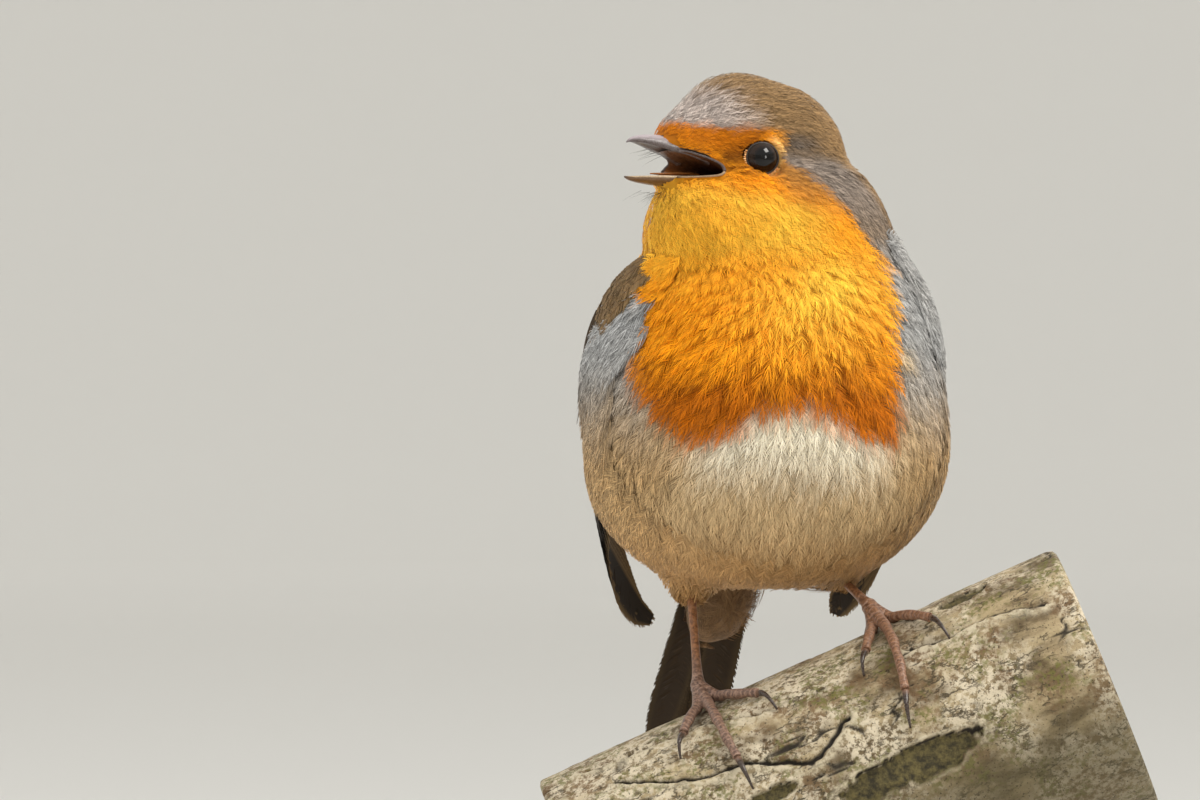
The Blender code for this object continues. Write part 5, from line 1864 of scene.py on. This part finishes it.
def legs():
    skin, horn_finish = leather(), claw_horn()
    for word, (heel, foot) in LEGS.items():
        heel, foot = Vector(heel), Vector(foot)
        sole = foot - PERCH_TOP * 2.4
        toes = {number: toe_path(foot, stations[:-1]) for number, stations in TOES[word].items()}
        rounded = {number: smooth_rows(path, 5) for number, path in toes.items()}
        ankle = smooth_rows([(*sole, 1.0), (*foot, 1.35)], 4)
        shank = smooth_rows([
            (*(heel + (foot - heel) * t), radius)
            for t, radius in zip((0, 0.1, 0.3, 0.7, 0.92, 1.0), (1.3, 1.0, 0.78, 0.68, 0.84, 1.3))
        ], 6)
        lines = [*rounded.values(), ankle, shank]
        mesh = melted(tubes("tubes", lines, 20, FROM_CREST), FOOT_VOXEL, 5)
        places = into(FROM_CREST, points_of(mesh))
        ring, under = ring_numbers(places, [(path, SCUTE) for path in rounded.values()] + [(shank, 2.4)])
        add_numbers(mesh, "ring", ring)
        height = (places - np.array(foot)) @ np.array(unit(np.array(heel - foot)))
        add_numbers(mesh, "under", np.maximum(under, 0.8 * ramp(height, 2.0, 4.0)))
        add_numbers(mesh, "toes", ramp(height, 7.0, 0.0) * (1.0 if word == "right" else 0.45))
        stands_for = (f"foot_{word}", f"tarsus_{word}")
        put(f"scaled_leg_{word}", mesh, skin, stands_for=stands_for)
        claws = [claw_path(toes[number], stations[-1]) for number, stations in TOES[word].items()]
        names = tuple(f"claw_{word}_{number}" for number in TOES[word])
        mesh = tubes(f"claws_{word}", claws, 20, FROM_CREST)
        put(f"claws_{word}", mesh, horn_finish, stands_for=names)


legs()

# ---------------- branch

BRANCH_ENDS = (-40.0, 47.0)  # from the crest, along its axis, in mm
BRANCH_STEP = 0.36
END_ROUNDING = 0.8
SAW_HOLLOW = 0.0625  # how deep the sawn ends are uneven, in mm
# height below which the bark darkens: painted shade on the branch's underside
SHADED_UNDERSIDE_LEVEL = CREST_HEIGHT * PERCH_TOP.z - 30 * MM
# cracks in the bark, along and round the branch as a toe's places are, with depth and half width in mm
CRACKS = [
    ([(-29, 42), (-25.6, 45.8), (-20, 54), (-15.4, 58.7), (-10, 60), (-5.1, 65.6), (-0.4, 71.6),
      (4.3, 66.9), (7.5, 60)], 0.95, 0.42),
    ([(-33, 22), (-26, 24.5), (-22.6, 24.6), (-17, 28), (-12.4, 29), (-4.4, 38)], 0.8, 0.34),
    ([(-38, -35), (-27, -44), (-15, -40), (-4, -52), (9, -47), (20, -58)], 0.9, 0.4),
    ([(5, -95), (17, -104), (28, -99), (40, -110)], 0.8, 0.4),
    ([(-30, 120), (-18, 131), (-6, 126), (7, 139), (22, 133)], 0.9, 0.45),
    ([(-36, 178), (-20, 170), (-3, 182), (14, 176), (33, 190)], 0.8, 0.4),
    ([(-20, -140), (-4, -150), (12, -143)], 0.7, 0.35),
    ([(20, 38), (26, 43), (33, 41), (42, 47)], 0.55, 0.28),
]
# places where the outer bark has peeled: along, degrees round, half length, half width, depth in mm
PEELED = [
    (13.2, 92.0, 12.8, 3.0, 1.0), (-7.4, 80.0, 4.4, 1.4, 0.8), (31.0, 18.0, 4.6, 1.3, 0.5),
    (-31.0, 70.0, 5.0, 1.6, 0.8), (24.0, -70.0, 9.0, 2.6, 0.9), (-12.0, -90.0, 7.0, 2.0, 0.8),
    (-24.0, 158.0, 8.0, 2.4, 0.9), (28.0, 160.0, 6.0, 1.9, 0.8), (4.0, -168.0, 8.0, 2.1, 0.8),
    (36.0, -35.0, 4.0, 1.2, 0.6), (-34.0, -75.0, 3.6, 1.3, 0.6),
]


def crack_gap(along, across, line):
    """Signed distance in mm, over the unrolled bark, from a crack: above zero on its upper side."""
    rows = smooth_rows(line, 5)
    u, v = rows[:, 0], np.radians(rows[:, 1]) * PERCH_RADIUS
    nearest = np.full(along.shape, 99.0)
    for i in range(len(rows) - 1):
        run = np.array([u[i + 1] - u[i], v[i + 1] - v[i]])
        length = np.hypot(*run)
        share = np.clip(((along - u[i]) * run[0] + (across - v[i]) * run[1]) / length**2, 0, 1)
        gap_u, gap_v = along - u[i] - share * run[0], across - v[i] - share * run[1]
        gap = np.hypot(gap_u, gap_v)
        side = np.sign(run[0] * gap_v - run[1] * gap_u)
        nearest = np.where(gap < np.abs(nearest), gap * np.where(side == 0, 1, -side), nearest)
    return nearest


def bark_relief(along, turn):
    """Height of the bark over the branch's plain round surface in mm, and how deep, peeled and torn it is.
    The deep mask also carries the painted shadow under each peeled patch's upper lip.
    """
    places = np.stack([along, PERCH_RADIUS * np.cos(turn), PERCH_RADIUS * np.sin(turn)], axis=-1)
    flat = places.reshape(-1, 3)
    shape = along.shape
    slow = clouds(flat, 17.0, 3, 2).reshape(shape)
    drawn = flat * (0.28, 1, 1)
    wander = np.stack([clouds(flat, 5.0, seed, 2) for seed in (21, 22, 23)], axis=1) * 1.1
    seams = clouds(drawn + wander, 3.4, 31, 2).reshape(shape)
    seam = np.exp(-((seams / 0.045) ** 2)) * ramp(clouds(flat, 11.0, 37, 2).reshape(shape), -0.15, 0.25)
    grain = clouds(flat * (0.5, 1, 1), 0.9, 41, 2).reshape(shape)
    plates = 0.10 * np.sign(seams) * ramp(np.abs(seams), 0, 0.12) * 0.8
    height = -0.16 + 0.20 * slow + plates - 0.34 * seam + 0.07 * grain
    # deep: where the bark is darkened as painted shade, in seams and cracks
    deep, torn = seam * 0.8, np.zeros(shape)
    across = turn * PERCH_RADIUS
    ragged = clouds(flat, 1.6, 51, 3).reshape(shape) * 0.55 + clouds(flat, 5.0, 52, 2).reshape(shape) * 0.8
    for line, depth, half in CRACKS:
        for around in (-2 * pi, 0, 2 * pi):
            gap = crack_gap(along, across + around * PERCH_RADIUS, line) + ragged
            cut = np.exp(-((gap / half) ** 2))
            lip = np.exp(-(((gap + 0.95) / 0.7) ** 2))
            height = height - depth * cut + 0.36 * lip
            deep, torn = np.maximum(deep, cut), np.maximum(torn, lip)
    peeled = np.zeros(shape)
    for middle, degrees, long, wide, depth in PEELED:
        off = across - radians(degrees) * PERCH_RADIUS
        off = (off + pi * PERCH_RADIUS) % (2 * pi * PERCH_RADIUS) - pi * PERCH_RADIUS
        ahead = along - middle
        lens = 1 - (ahead / long) ** 2 - ((off + 0.06 * ahead) / wide) ** 2 + 0.9 * ragged
        hole = ramp(lens, 0.0, 0.16)
        upper = ramp(-off, 0.0, wide * 0.6)
        lip = np.exp(-(((lens + 0.22) / 0.2) ** 2)) * (0.35 + 0.65 * upper)
        height = height * (1 - hole) + hole * (-depth + 0.16 * grain) + 0.42 * lip
        peeled, torn = np.maximum(peeled, hole), np.maximum(torn, lip)
        # painted shadow under the peeled patch's upper lip
        deep = np.maximum(deep, np.exp(-(((lens - 0.1) / 0.1) ** 2)) * upper)
    return height, deep, peeled, torn


def bark():
    """Weathered bark: pale crust over tan, green algae in its low places, painted shade in its cracks and
    under the lips of peeled bark, and painted shade on its underside.
    """
    made = Finish("weathered bark")
    deep, peeled, torn = (made.attribute(word) for word in ("deep", "peeled", "torn"))
    broad = made.noise(16 * MM, detail=5.0)
    level = made.node("ShaderNodeMapping", Vector=made.object_place(), Rotation=(0, PERCH_SLOPE, 0))
    level = level.outputs[0]
    along = made.node("ShaderNodeMapping", Vector=level, Scale=(0.45, 1, 1)).outputs[0]
    drawn = made.noise(4.5 * MM, place=along, detail=6.0)
    crumbs = made.noise(1.1 * MM, detail=5.0, roughness=0.7)
    colour = made.mix(made.remap(drawn, 0.38, 0.60), (0.125, 0.085, 0.040), (0.42, 0.325, 0.185))
    crust = made.times(made.remap(broad, 0.40, 0.56), made.remap(crumbs, 0.42, 0.54))
    colour = made.mix(crust, colour, (0.66, 0.57, 0.42))
    brown = made.times(made.remap(made.noise(9 * MM, detail=5.0), 0.50, 0.60), made.remap(crumbs, 0.62, 0.42))
    colour = made.over(colour, (0.16, 0.088, 0.036), brown, 0.75)
    threads = made.math("ABSOLUTE", made.less(made.noise(2.2 * MM, place=along, detail=5.0), 0.5))
    where = made.remap(made.noise(5 * MM, detail=2.0), 0.45, 0.6)
    threads = made.times(made.remap(threads, 0.030, 0.008), where)
    colour = made.over(colour, (0.050, 0.036, 0.016), threads, 0.8)
    algae = made.times(made.remap(made.noise(6.5 * MM, detail=4.0), 0.47, 0.62),
                      made.remap(made.noise(0.8 * MM, detail=3.0), 0.44, 0.60))
    colour = made.over(colour, (0.150, 0.145, 0.030), algae, 0.8)
    height = made.node("ShaderNodeSeparateXYZ", Vector=level).outputs[2]
    # darker on the underside: painted shade where the light does not reach
    under = made.remap(made.less(height, SHADED_UNDERSIDE_LEVEL), 0.0, 16 * MM)
    colour = made.mix(made.times(made.less(1.0, under), 0.72), colour, (0.085, 0.070, 0.030))
    specks = made.remap(made.noise(0.42 * MM, detail=2.0), 0.60, 0.68)
    colour = made.over(colour, (0.045, 0.030, 0.014), specks, 0.8)
    colour = made.mix(made.times(torn, made.remap(crumbs, 0.3, 0.6)), colour, (0.60, 0.52, 0.37))
    inner = made.mix(made.remap(crumbs, 0.35, 0.65), (0.028, 0.022, 0.008), (0.15, 0.120, 0.045))
    colour = made.mix(peeled, colour, inner)
    # near black in cracks, seams and under peeled lips: painted shade
    colour = made.mix(made.remap(deep, 0.25, 0.85), colour, (0.014, 0.009, 0.004))
    lumps = made.plus(made.times(crumbs, 0.8), made.times(drawn, 0.8))
    lumps = made.less(lumps, made.times(threads, 0.3))
    fine = made.bump(made.noise(0.28 * MM, detail=4.0, roughness=0.7), 0.10 * MM, 0.7)
    return made.finished(Base_Color=colour, Roughness=made.remap(crumbs, 0.3, 0.7, 0.72, 0.92),
                         Normal=made.bump(lumps, 0.55 * MM, 0.8, below=fine))


def sawn_wood():
    """The branch's sawn ends: rings of growth, rays, saw marks and the dark bark's edge."""
    made = Finish("sawn wood")
    radius, spoke, rim = made.attribute("radius"), made.attribute("spoke"), made.attribute("rim")
    uneven = made.times(made.noise(7 * MM, detail=4.0), 2.6)
    years = made.times(made.math("POWER", radius, 0.82), 1.25)
    cycle = made.math("FRACT", made.plus(years, uneven))
    stain = made.remap(made.noise(4 * MM, detail=5.0), 0.35, 0.7)
    late = made.times(made.remap(cycle, 0.45, 0.97), made.math("MULTIPLY_ADD", stain, 0.6, 0.25))
    rays = made.remap(made.math("SINE", made.times(spoke, 150.0)), 0.75, 1.0)
    colour = made.mix(late, (0.60, 0.42, 0.235), (0.30, 0.165, 0.075))
    colour = made.over(colour, (0.68, 0.52, 0.33), rays, 0.18)
    colour = made.over(colour, (0.38, 0.26, 0.15), stain, 0.35)
    bent = made.math("MULTIPLY_ADD", made.noise(8 * MM, detail=3.0), 1.6, made.times(spoke, 42.0))
    split = made.times(made.remap(made.math("SINE", bent), 0.9982, 0.9998), made.remap(radius, 3.0, 9.0))
    colour = made.mix(split, colour, (0.07, 0.04, 0.02))
    heart = made.remap(made.plus(radius, made.times(uneven, 1.5)), 8.5, 4.0)
    colour = made.over(colour, (0.22, 0.11, 0.05), heart, 0.5)
    colour = made.mix(made.remap(rim, 0.935, 0.955), colour, (0.050, 0.028, 0.014))
    fibres = made.noise(0.35 * MM, detail=4.0)
    saw = made.node("ShaderNodeTexWave", {"bands_direction": "DIAGONAL"}, Vector=made.object_place(),
                    Scale=420.0, Distortion=1.5).outputs[1]
    height = made.plus(made.times(fibres, 0.6), made.times(saw, 0.2))
    return made.finished(Base_Color=colour, Roughness=0.72, Normal=made.bump(height, 0.18 * MM, 0.8))


def branch_point(along, turn, radius):
    """Places in mm from the crest of the perch."""
    axis, top = np.array(PERCH_AXIS), np.array(PERCH_TOP)
    outward = np.cos(turn)[..., None] * top - np.sin(turn)[..., None] * np.array([0, 1, 0])
    return along[..., None] * axis - top * PERCH_RADIUS + outward * radius[..., None]


def branch():
    low, high = BRANCH_ENDS
    rows, columns = int((high - low) / BRANCH_STEP), int(2 * pi * PERCH_RADIUS / BRANCH_STEP)
    along, turn = np.meshgrid(np.linspace(low, high, rows), circle(columns), indexing="ij")
    height, deep, peeled, torn = bark_relief(along, np.where(turn > pi, turn - 2 * pi, turn))
    to_end = np.minimum(along - low, high - along)
    inset = 1 - np.clip(to_end / END_ROUNDING, 0, 1)
    rounding = END_ROUNDING * (1 - np.sqrt(np.clip(1 - inset**2, 0, 1)))
    radius = PERCH_RADIUS + PERCH_TAPER * along + np.minimum(height, 0.45) - rounding
    points = out_of(FROM_CREST, branch_point(along, turn, radius).reshape(-1, 3))
    mesh = solid_mesh("branch_bark", points, [grid_faces(rows, columns)[:, ::-1]])
    for word, values in (("deep", deep), ("peeled", peeled), ("torn", torn)):
        add_numbers(mesh, word, values.ravel())
    put("branch_bark", mesh, bark(), stands_for=("perch",))
    ends = sawn_wood()
    for word, row, outward in (("low", 0, -1), ("high", -1, 1)):
        shares = np.linspace(1, 0, 30)[:, None]
        radii = radius[row] * shares
        turns = np.broadcast_to(turn[row], radii.shape)
        flat = np.stack([radii * np.cos(turns), radii * np.sin(turns), radii * 0], axis=-1)
        hollow = SAW_HOLLOW * np.abs(clouds(flat, 6.0, 77)) * (shares < 0.999)
        places = along[row, 0] - outward * hollow
        points = out_of(FROM_CREST, branch_point(places, turns, radii).reshape(-1, 3))
        faces = grid_faces(30, columns)
        mesh = solid_mesh(f"sawn_end_{word}", points, [faces if outward > 0 else faces[:, ::-1]])
        add_numbers(mesh, "radius", radii.ravel())
        add_numbers(mesh, "spoke", (turns / 6).ravel())
        add_numbers(mesh, "rim", (shares + 0 * radii).ravel())
        put(f"sawn_end_{word}", mesh, ends)


branch()

# ---------------- stand


def turned_walnut():
    """Oiled dark wood with its grain along the base's width."""
    made = Finish("oiled walnut")
    stretched = made.object_place((0.12, 1.0, 1.0))
    bend = made.noise(26 * MM, detail=2.0)
    bands = made.noise(7 * MM, place=stretched, detail=4.0)
    fibres = made.noise(0.9 * MM, place=made.object_place((0.06, 1.0, 1.0)), detail=5.0)
    pores = made.noise(0.5 * MM, place=made.object_place((0.05, 1.0, 1.0)), detail=2.0)
    pores = made.remap(pores, 0.60, 0.70)
    colour = made.mix(made.remap(made.plus(bands, made.times(bend, 0.35)), 0.48, 0.86),
                      (0.160, 0.078, 0.034), (0.055, 0.026, 0.013))
    colour = made.mix(made.times(made.remap(fibres, 0.35, 0.65), 0.4), colour, (0.23, 0.125, 0.06))
    colour = made.over(colour, (0.018, 0.009, 0.005), pores, 0.7)
    height = made.less(made.times(fibres, 0.35), pores)
    return made.finished(Base_Color=colour, Roughness=made.remap(fibres, 0.3, 0.7, 0.30, 0.44),
                         Normal=made.bump(height, 0.05 * MM, 0.6))


def brushed_steel():
    """Satin steel with fine scratches round the rods."""
    made = Finish("brushed steel")
    scratches = made.noise(0.25 * MM, place=made.object_place((0.2, 0.2, 3.0)), detail=4.0)
    smudges = made.noise(5 * MM, detail=3.0)
    roughness = made.plus(made.remap(scratches, 0.3, 0.7, 0.24, 0.36),
                          made.remap(smudges, 0.4, 0.7, 0.0, 0.08))
    colour = made.mix(made.remap(scratches, 0.3, 0.7), (0.46, 0.45, 0.43), (0.62, 0.61, 0.59))
    return made.finished(Base_Color=colour, Metallic=1.0, Roughness=roughness,
                         Normal=made.bump(scratches, 0.012 * MM, 0.5))


def stand():
    """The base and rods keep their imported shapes, and take their real finishes."""
    wood, steel = turned_walnut(), brushed_steel()
    for name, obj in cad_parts.items():
        if name.startswith("stand_"):
            finish = wood if name == "stand_base" else steel
            for slot in obj.material_slots:
                slot.material = finish


stand()

# ---------------- stage, light and camera


def stage():
    """A plain pale floor that curves up into a round wall, far off."""
    profile = [(0.0, 0.0), (3.6, 0.0), (4.2, 0.1), (4.6, 0.45), (4.75, 1.0), (4.8, 2.4)]
    profile = smooth_rows(profile, 6)
    around = circle(96)
    rings = np.stack([np.outer(profile[:, 0], np.cos(around)), np.outer(profile[:, 0], np.sin(around)),
                      np.outer(profile[:, 1], np.ones(96))], axis=-1)
    floor = new_object("floor", solid_mesh("floor", rings.reshape(-1, 3), [grid_faces(*rings.shape[:2])]))
    made = Finish("pale paper")
    floor.data.materials.append(made.finished(Base_Color=(0.74, 0.725, 0.69), Roughness=0.9))


def area_light(name, spot, size, power, colour=(1, 1, 1), target=(0, 0, 0.12)):
    lamp = bpy.data.lights.new(name, "AREA")
    lamp.shape = "RECTANGLE"
    lamp.size, lamp.size_y = size
    lamp.energy = power
    lamp.color = colour
    obj = new_object(name, lamp)
    obj.location = spot
    obj.rotation_mode = "QUATERNION"
    obj.rotation_quaternion = (Vector(target) - Vector(spot)).to_track_quat("-Z", "Y")
    return obj


def lights():
    area_light("key window", (0.66, -0.34, 1.02), (0.46, 0.42), 10.0, (1.0, 0.97, 0.91))
    area_light("fill", (-0.95, -0.9, 0.5), (1.0, 1.0), 3.5, (0.96, 0.98, 1.0)).visible_glossy = False
    area_light("sky", (0.0, 0.5, 1.3), (1.2, 1.2), 3.5, (1.0, 0.98, 0.95)).visible_glossy = False
    world = bpy.data.worlds.new("soft room")
    bpy.context.scene.world = world
    world.use_nodes = True
    world.node_tree.nodes["Background"].inputs[0].default_value = (0.95, 0.95, 0.93, 1)
    world.node_tree.nodes["Background"].inputs[1].default_value = 1.0
    bpy.context.scene.view_settings.view_transform = "Standard"


FRAME_WIDTH = 184.6 * MM  # what the camera sees from side to side at the middle of the bird
LENS, SENSOR = 400.0, 36.0
CAMERA_ASIDE, CAMERA_HEIGHT = -26.9 * MM, 118.1 * MM


def camera():
    made = bpy.data.cameras.new("camera")
    made.lens, made.sensor_width = LENS, SENSOR
    made.clip_start, made.clip_end = 0.1, 30.0
    obj = new_object("camera", made)
    obj.location = (CAMERA_ASIDE, -FRAME_WIDTH * LENS / SENSOR, CAMERA_HEIGHT)
    obj.rotation_euler = (pi / 2, 0, 0)
    bpy.context.scene.camera = obj


stage()
lights()
camera()
